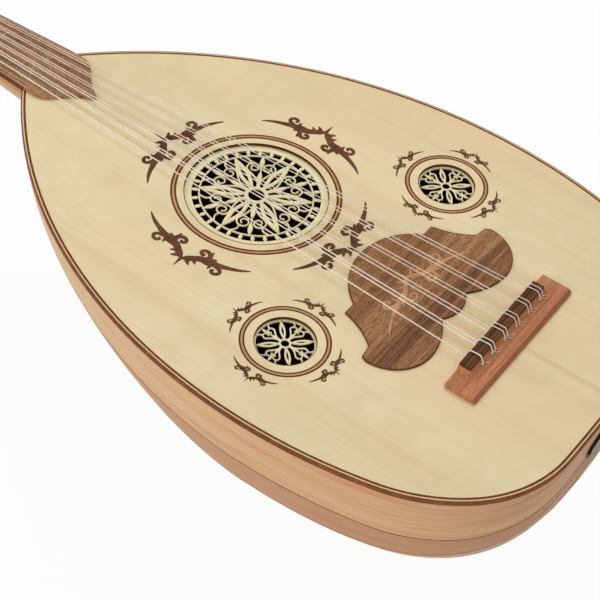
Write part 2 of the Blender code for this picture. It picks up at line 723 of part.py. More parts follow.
def build_blocks():
    """The two blocks inside the bowl that the neck and the ends of the ribs are glued to."""
    start = NECK_Y - NECK_BLOCK_LENGTH
    before = max(y for y in rib_rows() if y <= start)
    rows = [y for y in rib_rows() if y > start]
    part = (start - before) / (rows[0] - before)
    first = inner_ring(before) * (1.0 - part) + inner_ring(rows[0]) * part
    loft("neck_block", [first] + [inner_ring(y) for y in rows], NECK_WOOD)
    ring = inner_ring(rib_rows()[0]) + np.array([0.0, 2 * GAP, 0.0])
    loft("tail_block", [ring, ring + np.array([0.0, TAIL_BLOCK_LENGTH, 0.0])], NECK_WOOD)


def build_fingerboard():
    """The fingerboard, with its pointed tongue over the soundboard."""
    tongue = [(x, NECK_Y - y) for x, y in TONGUE[::-1]]
    right = tongue + [(HEEL_HALF_WIDTH, NECK_Y), (NUT_HALF_WIDTH, NUT_Y - NUT_THICKNESS - GAP)]
    outline = right + [(-x, y) for x, y in right[:0:-1]]
    shade(plate("fingerboard", [outline], TOP + GAP, FINGERBOARD_THICKNESS, BROWN_WOOD))


def build_nut():
    """The nut, across the end of the fingerboard."""
    high = GAP + FINGERBOARD_THICKNESS + NUT_PROUD
    wide = NUT_HALF_WIDTH
    outline = ((-wide, GAP), (wide, GAP), (wide, high - NUT_SHOULDER / 2), (wide - NUT_SHOULDER, high),
               (-wide + NUT_SHOULDER, high), (-wide, high - NUT_SHOULDER / 2))
    sections = [[(x, y, TOP + z) for x, z in outline] for y in (NUT_Y - NUT_THICKNESS, NUT_Y)]
    loft("nut", sections, BONE)


# Pegbox directions: u runs along the pegbox from the nut, v is square to its open front
PEGBOX_ALONG = np.array([0.0, math.cos(PEGBOX_BEND), -math.sin(PEGBOX_BEND)])
PEGBOX_OUT = np.array([0.0, math.sin(PEGBOX_BEND), math.cos(PEGBOX_BEND)])
PEGBOX_ORIGIN = np.array([0.0, NUT_Y, TOP])


def pegbox_point(x, u, v):
    """A point in the pegbox's own directions."""
    return PEGBOX_ORIGIN + np.array([x, 0.0, 0.0]) + u * PEGBOX_ALONG + v * PEGBOX_OUT


def pegbox_half_width(u):
    """Half the outer width of the pegbox."""
    return NUT_HALF_WIDTH + (PEGBOX_END_HALF_WIDTH - NUT_HALF_WIDTH) * u / PEGBOX_LENGTH


def pegbox_inside(u):
    """Half the width between the cheeks."""
    return pegbox_half_width(u) - CHEEK_THICKNESS


def pegbox_depth(u):
    """Depth of the pegbox from its open front to its back."""
    return NECK_END_DEPTH + (PEGBOX_END_DEPTH - NECK_END_DEPTH) * u / PEGBOX_LENGTH


PEGBOX_MITRE = NECK_END_DEPTH * math.tan(PEGBOX_BEND / 2)
PEGBOX_INNER_END = PEGBOX_LENGTH - END_BLOCK_LENGTH


def build_cheek(name, side):
    """A tapered side of the pegbox, with a hole for each peg."""
    places = np.linspace(0.0, 1.0, 5)
    front = [(GAP + (PEGBOX_LENGTH - GAP) * s, 0.0) for s in places]
    back = [PEGBOX_MITRE + GAP + (PEGBOX_LENGTH - PEGBOX_MITRE - GAP) * s for s in places[::-1]]
    outline = front + [(u, -pegbox_depth(u)) for u in back]
    outer = [pegbox_point(side * pegbox_half_width(u), u, v) for u, v in outline]
    inner = [pegbox_point(side * pegbox_inside(u), u, v) for u, v in outline]
    cheek = loft(name, (outer, inner), NECK_WOOD)
    holes = bmesh.new()
    for i in range(PEG_COUNT):
        u, v = peg_place(i)
        reach = side * (pegbox_half_width(u) - CHEEK_THICKNESS / 2)
        ends = [pegbox_point(reach + way * CHEEK_THICKNESS, u, v) for way in (-1, 1)]
        add_cylinder(holes, ends[0], ends[1], peg_radius(i, reach) + PEG_CLEARANCE, PEG_SIDES)
    cut(cheek, add_object(name + "_holes", mesh_from(holes, name + "_holes"), None, CUTTERS))


def pegbox_filler(name, places, high):
    """A piece between the cheeks: the back, or the block at the end."""
    sections = []
    for u in places:
        wide, deep = pegbox_inside(u) - GAP, pegbox_depth(u)
        top = 0.0 if high is None else high - deep
        corners = ((-wide, -deep), (wide, -deep), (wide, top), (-wide, top))
        sections.append([pegbox_point(x, u, v) for x, v in corners])
    loft(name, sections, NECK_WOOD)


def build_pegbox():
    """Two cheeks, a back and an end block, open at the front."""
    build_cheek("pegbox_cheek_bass", -1)
    build_cheek("pegbox_cheek_treble", 1)
    places = np.linspace(PEGBOX_MITRE + GAP, PEGBOX_INNER_END - GAP, 4)
    pegbox_filler("pegbox_back", places, PEGBOX_BACK_THICKNESS)
    pegbox_filler("pegbox_end_block", (PEGBOX_INNER_END, PEGBOX_LENGTH), None)


def peg_place(i):
    """Where a peg's axis crosses the pegbox: distance from the nut and height from the front."""
    u = PEG_FIRST + i * PEG_PITCH
    return u, -PEG_HEIGHT * pegbox_depth(u)


def peg_side(i):
    """The side that a peg's head is on: the bass side for the first, then in turn."""
    return -1 if i % 2 == 0 else 1


def peg_radius(i, x):
    """Radius of a peg's shank where it crosses x."""
    wide = pegbox_half_width(peg_place(i)[0])
    part = (peg_side(i) * x + wide) / (2 * wide)
    return PEG_TIP_RADIUS + (PEG_HEAD_SIDE_RADIUS - PEG_TIP_RADIUS) * part


def build_pegs():
    """Tuning pegs: a tapered shank through both cheeks, a collar, and a flat head to turn it by."""
    for i in range(PEG_COUNT):
        u, v = peg_place(i)
        side = peg_side(i)
        wide = pegbox_half_width(u)
        tip = -(wide + PEG_TIP_PROUD)
        collar = wide + PEG_STEM
        half, thin, neck = PEG_HEAD_WIDTH / 2, PEG_HEAD_THICKNESS / 2, 0.85 * PEG_HEAD_SIDE_RADIUS
        profile = ((tip, peg_radius(i, side * tip), peg_radius(i, side * tip)),
                   (wide, PEG_HEAD_SIDE_RADIUS, PEG_HEAD_SIDE_RADIUS),
                   (collar - 0.0025, neck, neck),
                   (collar - 0.0010, PEG_COLLAR_RADIUS, PEG_COLLAR_RADIUS),
                   (collar + 0.0010, PEG_COLLAR_RADIUS, PEG_COLLAR_RADIUS),
                   (collar + 0.0022, neck, thin),
                   (collar + 0.35 * PEG_HEAD_LENGTH, 0.86 * half, thin),
                   (collar + 0.65 * PEG_HEAD_LENGTH, half, 0.85 * thin),
                   (collar + 0.90 * PEG_HEAD_LENGTH, 0.72 * half, 0.65 * thin),
                   (collar + PEG_HEAD_LENGTH, 0.30 * half, 0.40 * thin))
        sections = []
        for along, across, thick in profile:
            oval = circle((0.0, 0.0), 1.0, PEG_SIDES) * np.array([across, thick])
            sections.append([(side * along, y, z) for y, z in oval])
        peg = loft(f"peg_{i + 1:02d}", sections, DARK_WOOD)
        peg.location = Vector(pegbox_point(0.0, u, v))
        peg.rotation_euler = (-PEGBOX_BEND, 0.0, 0.0)
        shade(peg)


BRIDGE_FLOOR = TOP + GAP
CAP_FLOOR = BRIDGE_FLOOR + BRIDGE_HEIGHT + GAP
CAP_TOP = CAP_FLOOR + CAP_THICKNESS
BRIDGE_SHELF = BRIDGE_Y - CAP_DEPTH - GAP      # back edge of the seat under the cap


def build_bridge():
    """The bridge base with its tie holes, and the dark cap that the strings go over."""
    start = CAP_HALF_LENGTH + GAP
    half = [start + BRIDGE_COVE * s for s in (0.0, 0.15, 0.45, 1.0)] + [BRIDGE_HALF_LENGTH]
    back = BRIDGE_Y - BRIDGE_DEPTH
    sections = []
    for x in [-x for x in half[::-1]] + half:
        s = min(max(1.0 - (abs(x) - start) / BRIDGE_COVE, 0.0), 1.0)
        high = BRIDGE_WING_HEIGHT + (BRIDGE_HEIGHT - BRIDGE_WING_HEIGHT) * (1.0 - math.sqrt(1.0 - s * s))
        rise = high - BRIDGE_WING_HEIGHT
        profile = ((BRIDGE_Y, 0.0), (BRIDGE_Y, high), (BRIDGE_SHELF, high),
                   (BRIDGE_SHELF - 0.0030, BRIDGE_WING_HEIGHT + 0.36 * rise),
                   (BRIDGE_SHELF - 0.0070, BRIDGE_WING_HEIGHT + 0.06 * rise),
                   (back + BRIDGE_BEVEL, BRIDGE_WING_HEIGHT), (back, BRIDGE_BACK_HEIGHT), (back, 0.0))
        sections.append([(x, y, BRIDGE_FLOOR + z) for y, z in profile])
    base = loft("bridge_base", sections, BRIDGE_WOOD)
    holes = bmesh.new()
    height = TOP + TIE_HOLE_HEIGHT
    for x in bridge_places():
        add_cylinder(holes, (x, BRIDGE_Y + 0.002, height), (x, back, height), TIE_HOLE_RADIUS, 6)
    cut(base, add_object("tie_holes", mesh_from(holes, "tie_holes"), None, CUTTERS))
    outline = ((0.0, 0.0), (0.0, CAP_THICKNESS - CAP_BEVEL), (-CAP_BEVEL, CAP_THICKNESS),
               (-CAP_DEPTH + CAP_BEVEL, CAP_THICKNESS), (-CAP_DEPTH, CAP_THICKNESS - CAP_BEVEL),
               (-CAP_DEPTH, 0.0))
    sections = [[(x, BRIDGE_Y + y, CAP_FLOOR + z) for y, z in outline]
                for x in (-CAP_HALF_LENGTH, CAP_HALF_LENGTH)]
    loft("bridge_cap", sections, DARK_WOOD)


def bridge_places():
    """Where each string meets the bridge, bass to treble."""
    places = [COURSE_PLACES[0]]
    for middle in COURSE_PLACES[1:]:
        places += [middle - COURSE_SPACING / 2, middle + COURSE_SPACING / 2]
    return places


def nut_places():
    """Where each string crosses the nut, bass to treble."""
    step = 2 * NUT_SPREAD / (len(COURSE_PLACES) - 1)
    places = [-NUT_SPREAD]
    for course in range(1, len(COURSE_PLACES)):
        middle = -NUT_SPREAD + course * step
        places += [middle - NUT_PAIR_SPACING / 2, middle + NUT_PAIR_SPACING / 2]
    return places


def string_peg(i):
    """The peg of a string: outer strings have the nearest pegs, and each its own side's."""
    return 2 * i if i < BASS_STRINGS else 2 * (PEG_COUNT - 1 - i) + 1


def winding(i, start, radius):
    """A string's turns round its peg, from where it meets the peg, in a helix towards the head."""
    peg = string_peg(i)
    u, v = peg_place(peg)
    side = peg_side(peg)
    pitch = 2 * radius + WINDING_GAP
    room = pegbox_inside(u) - radius - GAP - WINDING_TURNS * pitch
    lane = side * min(side * start[0], room)
    along = np.linspace(0.0, WINDING_TURNS, WINDING_TURNS * WINDING_STEPS + 1)
    x = lane + side * pitch * along
    away = np.array([peg_radius(peg, value) for value in x]) + GAP + radius
    away /= math.cos(math.pi / WINDING_STEPS)
    slope = math.atan2(start[1] - (v + away[0]), u)
    turn = math.pi / 2 + slope - 2 * math.pi * along
    return [tuple(pegbox_point(*place)) for place in zip(x, u + away * np.cos(turn), v + away * np.sin(turn))]


def least_gap(points, radius):
    """The least clear distance between turns of one tube, from samples along its middle line."""
    points = np.array(points)
    fine = np.vstack([np.linspace(a, b, 6, endpoint=False) for a, b in zip(points, points[1:])])
    away = np.linalg.norm(fine[:, None] - fine[None], axis=2)
    index = np.arange(len(fine))
    apart_enough = np.abs(index[:, None] - index[None]) > 3 * WINDING_STEPS
    return float(away[apart_enough].min() - 2 * radius)


def build_strings():
    """Each string from its peg over the nut to the bridge, and round the cap."""
    hole_z = TOP + TIE_HOLE_HEIGHT
    nut_top = TOP + GAP + FINGERBOARD_THICKNESS + NUT_PROUD
    gaps = []
    for i, (x_nut, x_bridge) in enumerate(zip(nut_places(), bridge_places())):
        radius = STRING_RADII[i]
        ride = radius + GAP
        turns = winding(i, (x_nut, nut_top - TOP + ride), radius)
        gaps.append(least_gap(turns, radius))
        points = turns[::-1]
        points += [(x_nut, NUT_Y, nut_top + ride), (x_nut, NUT_Y - NUT_THICKNESS, nut_top + ride),
                   (x_bridge, BRIDGE_Y + 0.004, hole_z), (x_bridge, BRIDGE_SHELF - 0.0036, hole_z),
                   (x_bridge, BRIDGE_SHELF - 0.0044, hole_z + 0.0010),
                   (x_bridge, BRIDGE_SHELF - 0.0036, hole_z + 0.0026),
                   (x_bridge, BRIDGE_SHELF - ride, CAP_TOP - GAP),
                   (x_bridge, BRIDGE_SHELF + CAP_BEVEL, CAP_TOP + ride),
                   (x_bridge, BRIDGE_Y - CAP_BEVEL, CAP_TOP + ride),
                   (x_bridge, BRIDGE_Y + ride, CAP_TOP - GAP),
                   (x_bridge, BRIDGE_Y + ride, hole_z + 2 * radius + 2 * GAP)]
        shade(tube(f"string_{i + 1:02d}", points, radius, NYLON))
    print("least gap between turns of a winding, mm:", round(1000 * min(gaps), 3))


def arc_between(start, end, radius, steps):
    """An arc from one point to the next that bulges to the right of the way between them."""
    start, end = np.array(start), np.array(end)
    chord = end - start
    length = np.linalg.norm(chord)
    aside = np.array([-chord[1], chord[0]]) / length
    centre = (start + end) / 2 + aside * math.sqrt(radius ** 2 - (length / 2) ** 2)
    first = math.degrees(math.atan2(*(start - centre)[::-1]))
    sweep = math.degrees(2 * math.asin(length / 2 / radius))
    return arc(centre, radius, first, first + sweep, steps)


def build_pickguard():
    """The shaped plate that keeps the plectrum off the soundboard: arcs on a half outline."""
    top_centre = -GUARD_TOP - GUARD_TOP_RADIUS
    shoulder = top_centre + math.sqrt(GUARD_TOP_RADIUS ** 2 - GUARD_SHOULDER ** 2)
    skirt_centre = -GUARD_LOBE - GUARD_LOBE_RADIUS + GUARD_SKIRT_RADIUS
    cusp = skirt_centre - math.sqrt(GUARD_SKIRT_RADIUS ** 2 - (GUARD_LOBE_SIDE - GUARD_CUSP_HALF_WIDTH) ** 2)
    tip_rise = GUARD_TIP_RADIUS - math.sqrt(GUARD_TIP_RADIUS ** 2 - GUARD_CUSP_HALF_WIDTH ** 2)
    start = math.degrees(math.atan2(shoulder - top_centre, GUARD_SHOULDER))
    cusp_turn = math.degrees(math.atan2(cusp - skirt_centre, GUARD_CUSP_HALF_WIDTH - GUARD_LOBE_SIDE))
    pieces = [arc((0.0, top_centre), GUARD_TOP_RADIUS, 90.0, start, 9),
              [(GUARD_SHOULDER_HALF_WIDTH, shoulder)],
              arc_between((GUARD_SHOULDER_HALF_WIDTH, shoulder),
                          (GUARD_HORN_HALF_WIDTH - 0.010, -GUARD_HORN + 0.0015), 0.060, 5)[1:],
              [(GUARD_HORN_HALF_WIDTH, -GUARD_HORN)],
              arc((GUARD_LOBE_SIDE, -GUARD_LOBE), GUARD_LOBE_RADIUS, 0.0, -90.0, 8),
              arc((GUARD_LOBE_SIDE, skirt_centre), GUARD_SKIRT_RADIUS, -90.0, cusp_turn, 6)[1:],
              arc((0.0, cusp - tip_rise + GUARD_TIP_RADIUS), GUARD_TIP_RADIUS,
                  -90.0 + math.degrees(math.asin(GUARD_CUSP_HALF_WIDTH / GUARD_TIP_RADIUS)), -90.0, 4)[1:]]
    outline = both_sides(np.vstack(pieces)) + np.array([0.0, ROSETTE_Y])
    shade(plate("pickguard", [outline], TOP + GAP, PICKGUARD_THICKNESS, BROWN_WOOD))


def build_clasp():
    """The pointed plate over the ends of the ribs, bent to the tail's curve."""
    sections = []
    for wide, depth in CLASP_OUTLINE:
        across = wide * np.linspace(-1.0, 1.0, CLASP_COLUMNS)
        seat = [(x, tail_face_y(abs(x), depth) - GAP, TOP - depth) for x in across]
        outside = [(x, y - CLASP_THICKNESS, z) for x, y, z in seat]
        sections.append(outside + seat[::-1])
    shade(loft("end_clasp", sections, CLASP_WOOD))


build_ribs()
build_soundboard()
build_edge_binding()
build_braces()
build_rosettes()
build_neck()
build_blocks()
build_fingerboard()
build_nut()
build_pegbox()
build_pegs()
build_bridge()
build_strings()
build_pickguard()
build_clasp()
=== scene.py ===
# %% [markdown]
# # An Arabic oud, dressed
# The imported frame holds every solid of this short-necked lute at its real size. This lesson puts
# wood, strings and carved rosettes on it. New pieces are worked out with numpy as grids of points,
# and every finish is a small network of shader nodes written as Python sums.
#
# First the frame is loaded. The dressed oud has to stay inside that box.

# %% Frame
import json
import math

import bmesh
import bpy
import numpy as np
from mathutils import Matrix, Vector


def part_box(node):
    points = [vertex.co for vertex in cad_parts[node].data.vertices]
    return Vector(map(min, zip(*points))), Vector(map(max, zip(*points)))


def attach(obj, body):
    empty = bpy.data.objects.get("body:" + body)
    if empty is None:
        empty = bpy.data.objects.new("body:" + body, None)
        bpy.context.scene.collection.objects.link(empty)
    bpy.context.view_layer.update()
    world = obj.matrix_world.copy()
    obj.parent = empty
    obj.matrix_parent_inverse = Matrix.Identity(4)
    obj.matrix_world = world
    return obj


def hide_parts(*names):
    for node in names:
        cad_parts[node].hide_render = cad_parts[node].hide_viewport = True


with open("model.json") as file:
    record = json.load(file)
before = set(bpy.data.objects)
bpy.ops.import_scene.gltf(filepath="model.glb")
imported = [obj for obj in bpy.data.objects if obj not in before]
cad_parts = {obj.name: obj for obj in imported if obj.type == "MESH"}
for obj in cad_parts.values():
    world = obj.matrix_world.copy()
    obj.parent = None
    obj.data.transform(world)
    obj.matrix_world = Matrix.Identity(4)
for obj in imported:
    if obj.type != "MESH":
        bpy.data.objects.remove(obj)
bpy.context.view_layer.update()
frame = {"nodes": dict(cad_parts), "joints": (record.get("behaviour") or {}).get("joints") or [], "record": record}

# %% [markdown]
# Places on the oud come from the frame's own boxes: the height of the soundboard, the centres of the
# three rosettes, the ends of the neck. Only forms that a box can't tell, such as the arcs of the
# face, are written as sizes later on, where they are first needed.

# %% Places
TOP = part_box("soundboard")[1].z


def middle(node):
    """Centre of a node's box in X and Y, as an array."""
    low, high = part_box(node)
    return np.array([(low.x + high.x) / 2, (low.y + high.y) / 2])


ROSETTES = {name: middle("rosette_" + name) for name in ("main", "bass", "treble")}
RING = 0.0635                # outer radius of the ring round the main rosette
NECK_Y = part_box("neck")[0].y
NUT_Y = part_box("nut")[1].y
BRIDGE_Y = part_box("bridge_cap")[1].y
print("soundboard at", round(TOP, 4), "m, rosettes at", {k: v.round(4).tolist() for k, v in ROSETTES.items()})

# %% [markdown]
# The camera stands where the photographer stood. Three circles that lie in one plane, seen as
# ellipses, fix the place and the lens: a long lens, about 1.15 m away, on the bass side of the tail.
# Blender's camera looks down its own -Z axis, and its turn is written as three angles.

# %% Camera
CAMERA_FROM_ROSETTE = Vector((-10.894, -7.223, 12.502)) * RING
CAMERA_TURN = (42.291, -5.029, -53.835)
LENS = 93.57

camera_data = bpy.data.cameras.new("camera")
camera_data.sensor_width = 36.0
camera_data.lens = LENS
camera = bpy.data.objects.new("camera", camera_data)
bpy.context.scene.collection.objects.link(camera)
camera.location = Vector((*ROSETTES["main"], TOP)) + CAMERA_FROM_ROSETTE
camera.rotation_euler = [math.radians(angle) for angle in CAMERA_TURN]
bpy.context.scene.camera = camera
print("camera at", [round(value, 3) for value in camera.location])

# %% [markdown]
# The floor is a large pale sheet. Seen by the camera it should be almost white, as in the photograph,
# but it must not throw more light on the oud, and it has to keep the oud's shadow. Light Path says
# which ray asks: a camera ray, or one seen in something shiny, gets part of its white from an
# emission of strength 1, and every other ray gets a plain matt floor. The world does the same.

# %% Floor and world
FLOOR_REACH = 6.0
floor_mesh = bpy.data.meshes.new("floor")
corners = [(x * FLOOR_REACH, y * FLOOR_REACH, -0.0005) for x, y in ((-1, -1), (1, -1), (1, 1), (-1, 1))]
floor_mesh.from_pydata(corners, [], [(0, 1, 2, 3)])
floor = bpy.data.objects.new("floor", floor_mesh)
bpy.context.scene.collection.objects.link(floor)


def seen_directly(tree):
    """A socket that is 1 for a ray from the camera, or one reflected or let through to it."""
    path = tree.nodes.new("ShaderNodeLightPath")
    total = path.outputs["Is Camera Ray"]
    for name in ("Is Glossy Ray", "Is Transmission Ray"):
        either = tree.nodes.new("ShaderNodeMath")
        either.operation = "MAXIMUM"
        tree.links.new(total, either.inputs[0])
        tree.links.new(path.outputs[name], either.inputs[1])
        total = either.outputs[0]
    return total


def paper_floor(whiteness):
    """Matt white paper that shows some of its white by itself, but only to the camera."""
    material = bpy.data.materials.new("floor_paper")
    material.use_nodes = True
    tree = material.node_tree
    matt = tree.nodes["Principled BSDF"]
    matt.inputs["Base Color"].default_value = (0.86, 0.86, 0.86, 1.0)
    matt.inputs["Roughness"].default_value = 0.9
    glow = tree.nodes.new("ShaderNodeEmission")
    glow.inputs["Color"].default_value = (1.0, 1.0, 1.0, 1.0)
    share = tree.nodes.new("ShaderNodeMath")
    share.operation = "MULTIPLY"
    share.inputs[1].default_value = whiteness
    tree.links.new(seen_directly(tree), share.inputs[0])
    mix = tree.nodes.new("ShaderNodeMixShader")
    tree.links.new(share.outputs[0], mix.inputs[0])
    tree.links.new(matt.outputs[0], mix.inputs[1])
    tree.links.new(glow.outputs[0], mix.inputs[2])
    tree.links.new(mix.outputs[0], tree.nodes["Material Output"].inputs["Surface"])
    return material


def studio_world(light):
    """Even white light of a given strength, with a plain white sky for the camera."""
    world = bpy.data.worlds.new("studio")
    world.use_nodes = True
    tree = world.node_tree
    sky = tree.nodes["Background"]
    sky.inputs["Color"].default_value = (1.0, 1.0, 1.0, 1.0)
    sky.inputs["Strength"].default_value = light
    white = tree.nodes.new("ShaderNodeBackground")
    white.inputs["Color"].default_value = (1.0, 1.0, 1.0, 1.0)
    mix = tree.nodes.new("ShaderNodeMixShader")
    tree.links.new(seen_directly(tree), mix.inputs[0])
    tree.links.new(sky.outputs[0], mix.inputs[1])
    tree.links.new(white.outputs[0], mix.inputs[2])
    tree.links.new(mix.outputs[0], tree.nodes["World Output"].inputs["Surface"])
    return world


floor_mesh.materials.append(paper_floor(0.94))
bpy.context.scene.world = studio_world(0.55)
bpy.context.scene.view_settings.view_transform = "Standard"
print("floor and world ready")

# %% [markdown]
# Two large soft lamps light the oud. The key lamp hangs over the treble side of the neck's end, and
# lights the soundboard. The other one stands low on the bass side, where it lights the ribs that the
# camera sees, most of all towards the neck, and lets them fall off gently into shade at the tail.

# %% Lamps


def soft_lamp(name, place, aim, size, power):
    """A square panel lamp at a place, turned towards its aim."""
    data = bpy.data.lights.new(name, "AREA")
    data.size = size
    data.energy = power
    lamp = bpy.data.objects.new(name, data)
    bpy.context.scene.collection.objects.link(lamp)
    lamp.location = place
    lamp.rotation_euler = (Vector(aim) - Vector(place)).to_track_quat("-Z", "Y").to_euler()
    return lamp


soft_lamp("key_lamp", (0.9, 0.7, 1.9), (0.0, 0.0, TOP), 1.4, 17.0)
soft_lamp("fill_lamp", (-2.0, 0.5, 0.7), (0.0, 0.0, 0.1), 1.6, 21.0)
print("lamps:", [light.name for light in bpy.data.lights])

# %% [markdown]
# Shader nodes are wordy when they are wired by hand. A small class wraps a socket, so that a sum or a
# product in Python adds the Math node for it. Its reflected forms let 1 - mask and 2 * grain work
# too. Another class stands for one material. Its method node makes any node from its type, its
# settings and its inputs, and its method noise gives noise stretched along the three axes, which is
# what wood grain is made of. Colours are written as they look on a screen and turned to linear light.

# %% Shader sums
WAYS = {"add": "ADD", "sub": "SUBTRACT", "mul": "MULTIPLY", "truediv": "DIVIDE", "pow": "POWER"}


class Value:
    """A socket that takes part in sums: each operator adds one Math node."""

    def __init__(self, finish, socket):
        self.finish = finish
        self.socket = socket

    def between(self, low, high):
        """0 below low, 1 above high, and a smooth rise from one to the other."""
        settings = {"interpolation_type": "SMOOTHSTEP"}
        return self.finish.node("MapRange", settings, {"Value": self, "From Min": low, "From Max": high})


def operator(way, reflected):
    """The method for one operator, with its terms the other way round if it is reflected."""
    def apply(self, other):
        terms = (other, self) if reflected else (self, other)
        return self.finish.math(way, *terms)
    return apply


for word, way in WAYS.items():
    setattr(Value, f"__{word}__", operator(way, False))
    setattr(Value, f"__r{word}__", operator(way, True))


class Finish:
    """One material with its principled shader."""

    def __init__(self, name, roughness, coat=0.0, metallic=0.0, gleam=0.2):
        self.material = bpy.data.materials.new(name)
        self.material.use_nodes = True
        self.tree = self.material.node_tree
        self.shader = self.tree.nodes["Principled BSDF"]
        self.shader.inputs["Roughness"].default_value = roughness
        self.shader.inputs["Coat Weight"].default_value = coat
        self.shader.inputs["Coat Roughness"].default_value = 0.30
        self.shader.inputs["Specular IOR Level"].default_value = gleam
        self.shader.inputs["Metallic"].default_value = metallic
        self.place = self.node("TexCoord", output="Object")

    def node(self, kind, settings=None, inputs=None, output=0):
        """Any node by its type. Settings come first, then the values or links of its inputs."""
        node = self.tree.nodes.new("ShaderNode" + kind)
        for key, value in (settings or {}).items():
            setattr(node, key, value)
        for key, value in (inputs or {}).items():
            self.feed(node.inputs[key], value)
        return Value(self, node.outputs[output])

    def feed(self, socket, value):
        """Link a value to a socket, or set the socket to a plain number or colour."""
        if isinstance(value, Value):
            self.tree.links.new(value.socket, socket)
        else:
            socket.default_value = value

    def math(self, way, *terms):
        """A Math node on numbers or values."""
        return self.node("Math", {"operation": way}, dict(enumerate(terms)))

    def use_uv(self, name):
        """Read the pattern's place from the piece's own map instead of its object coordinates."""
        self.place = self.node("UVMap", {"uv_map": name})

    def axes(self):
        """The three coordinates of the place as separate values."""
        parts = self.node("SeparateXYZ", inputs={"Vector": self.place}).socket.node.outputs
        return [Value(self, output) for output in parts]

    def noise(self, scale, detail=2.0, shift=(0.0, 0.0, 0.0)):
        """Noise whose coordinates are multiplied by the scale: a low number draws it out along that axis."""
        stretched = self.node("Mapping", inputs={"Vector": self.place, "Scale": scale, "Location": shift})
        return self.node("TexNoise", inputs={"Vector": stretched, "Scale": 1.0, "Detail": detail})

    def mix(self, share, first, second):
        """A colour between two others."""
        node = self.node("Mix", {"data_type": "RGBA"}, {"Factor": share}).socket.node
        for socket, value in ((node.inputs[6], first), (node.inputs[7], second)):
            self.feed(socket, value)
        return Value(self, node.outputs[2])

    def set(self, socket, value):
        """Give the shader one of the inputs that may vary over the surface."""
        self.feed(self.shader.inputs[socket], value)

    def relief(self, height, depth):
        """Bump from a height between 0 and 1, with its full depth in metres."""
        self.set("Normal", self.node("Bump", inputs={"Height": height, "Distance": depth, "Strength": 1.0}))


def colour(red, green, blue):
    """A screen colour of 0 to 255 in linear light."""
    part = np.array([red, green, blue]) / 255.0
    linear = np.where(part <= 0.04045, part / 12.92, ((part + 0.055) / 1.055) ** 2.4)
    return (*linear.tolist(), 1.0)


print("operators:", ", ".join(WAYS))

# %% [markdown]
# All the woods follow one recipe. A board is made of fibres, so fine noise is drawn out a hundred
# times along the grain. Broader noise, drawn out as well, stands for the yearly rings, and a third
# one for the slow change of colour along a board. The three are added, spread about their middle and
# used to mix a light wood with a darker one. The fibres also lift the surface by hundredths of a
# millimetre and change the gloss, so that light breaks up along the grain.

# %% Wood recipe


def wood(name, light, dark, fibres, rings, spread=1.6, gloss=0.48, coat=0.06, uv=None, gleam=0.2, tilt=0.0):
    """A lacquered wood. Fibres and rings are the scales of its two grains along X, Y and Z, or along
    the axes that a tilt about X turns them to.
    """
    finish = Finish(name, gloss, coat, gleam=gleam)
    if uv:
        finish.use_uv(uv)
    if tilt:
        finish.place = finish.node("Mapping", inputs={"Vector": finish.place, "Rotation": (tilt, 0.0, 0.0)})
    fine = finish.noise(fibres, 3.0)
    broad = finish.noise(rings, 2.5, (3.1, 1.7, 0.4))
    slow = finish.noise(tuple(0.12 * scale for scale in rings), 1.0, (7.7, 0.3, 2.9))
    tone = (0.38 * fine + 0.40 * broad + 0.22 * slow - 0.5) * spread + 0.5
    finish.set("Base Color", finish.mix(tone.between(0.0, 1.0), light, dark))
    finish.set("Roughness", gloss - 0.06 + 0.12 * fine)
    finish.relief(fine, 0.00006)
    return finish


WOODS = {
    "spruce": wood("spruce", colour(232, 210, 166), colour(206, 178, 130), (1100, 9, 1100), (260, 1.2, 260)),
    "neck_wood": wood("neck_wood", colour(190, 146, 108), colour(154, 108, 74), (800, 16, 800), (120, 2.5, 120)),
    "dark_wood": wood("dark_wood", colour(100, 60, 38), colour(56, 30, 18), (900, 30, 900), (240, 6, 240),
                      gleam=0.08),
    "cap_wood": wood("cap_wood", colour(124, 78, 46), colour(44, 24, 12), (24, 1300, 900), (8, 500, 300), 2.2,
                     coat=0.0, gleam=0.05),
    "clasp_wood": wood("clasp_wood", colour(142, 120, 104), colour(92, 72, 60), (14, 900, 900), (3, 160, 160)),
}
print("woods:", ", ".join(WOODS))

# %% [markdown]
# Most pieces of a lute are skins over rings of points: a rib, a neck, a peg, a strip bent round the
# face. One function makes them all. It takes an array of rings, joins each ring to the next with
# quads, and closes the ends with a cap, or joins the last ring to the first. The faces are indices
# worked out as whole arrays. Several skins can share one object: some closed by caps, and some that
# are loops.

# %% Skins from rings
PIECES = {}


def skin_faces(rows, count, start, closed):
    """Quads between neighbouring rings: row i and i + 1, point j and j + 1, both counted round."""
    steps = np.arange(rows if closed else rows - 1)
    row, column = np.meshgrid(steps, np.arange(count), indexing="ij")
    ahead, beside = (row + 1) % rows, (column + 1) % count
    quads = np.stack([row * count + column, row * count + beside,
                      ahead * count + beside, ahead * count + column], axis=-1)
    faces = (quads.reshape(-1, 4) + start).tolist()
    if not closed:
        first = np.arange(count) + start
        faces += [first[::-1].tolist(), (first + (rows - 1) * count).tolist()]
    return faces


def piece(name, finish, skins=(), loops=(), body="body", replaces=(), sharp=40.0, grain=None):
    """One object from skins and loops, each an array of rings with the shape (rings, points, 3)."""
    points, faces = [], []
    start = 0
    for rings, closed in [(skin, False) for skin in skins] + [(loop, True) for loop in loops]:
        faces += skin_faces(rings.shape[0], rings.shape[1], start, closed)
        points.append(rings.reshape(-1, 3))
        start += rings.shape[0] * rings.shape[1]
    mesh = bpy.data.meshes.new(name)
    mesh.from_pydata(np.vstack(points).tolist(), [], faces)
    return dress(name, mesh, finish, body, replaces, sharp, grain)


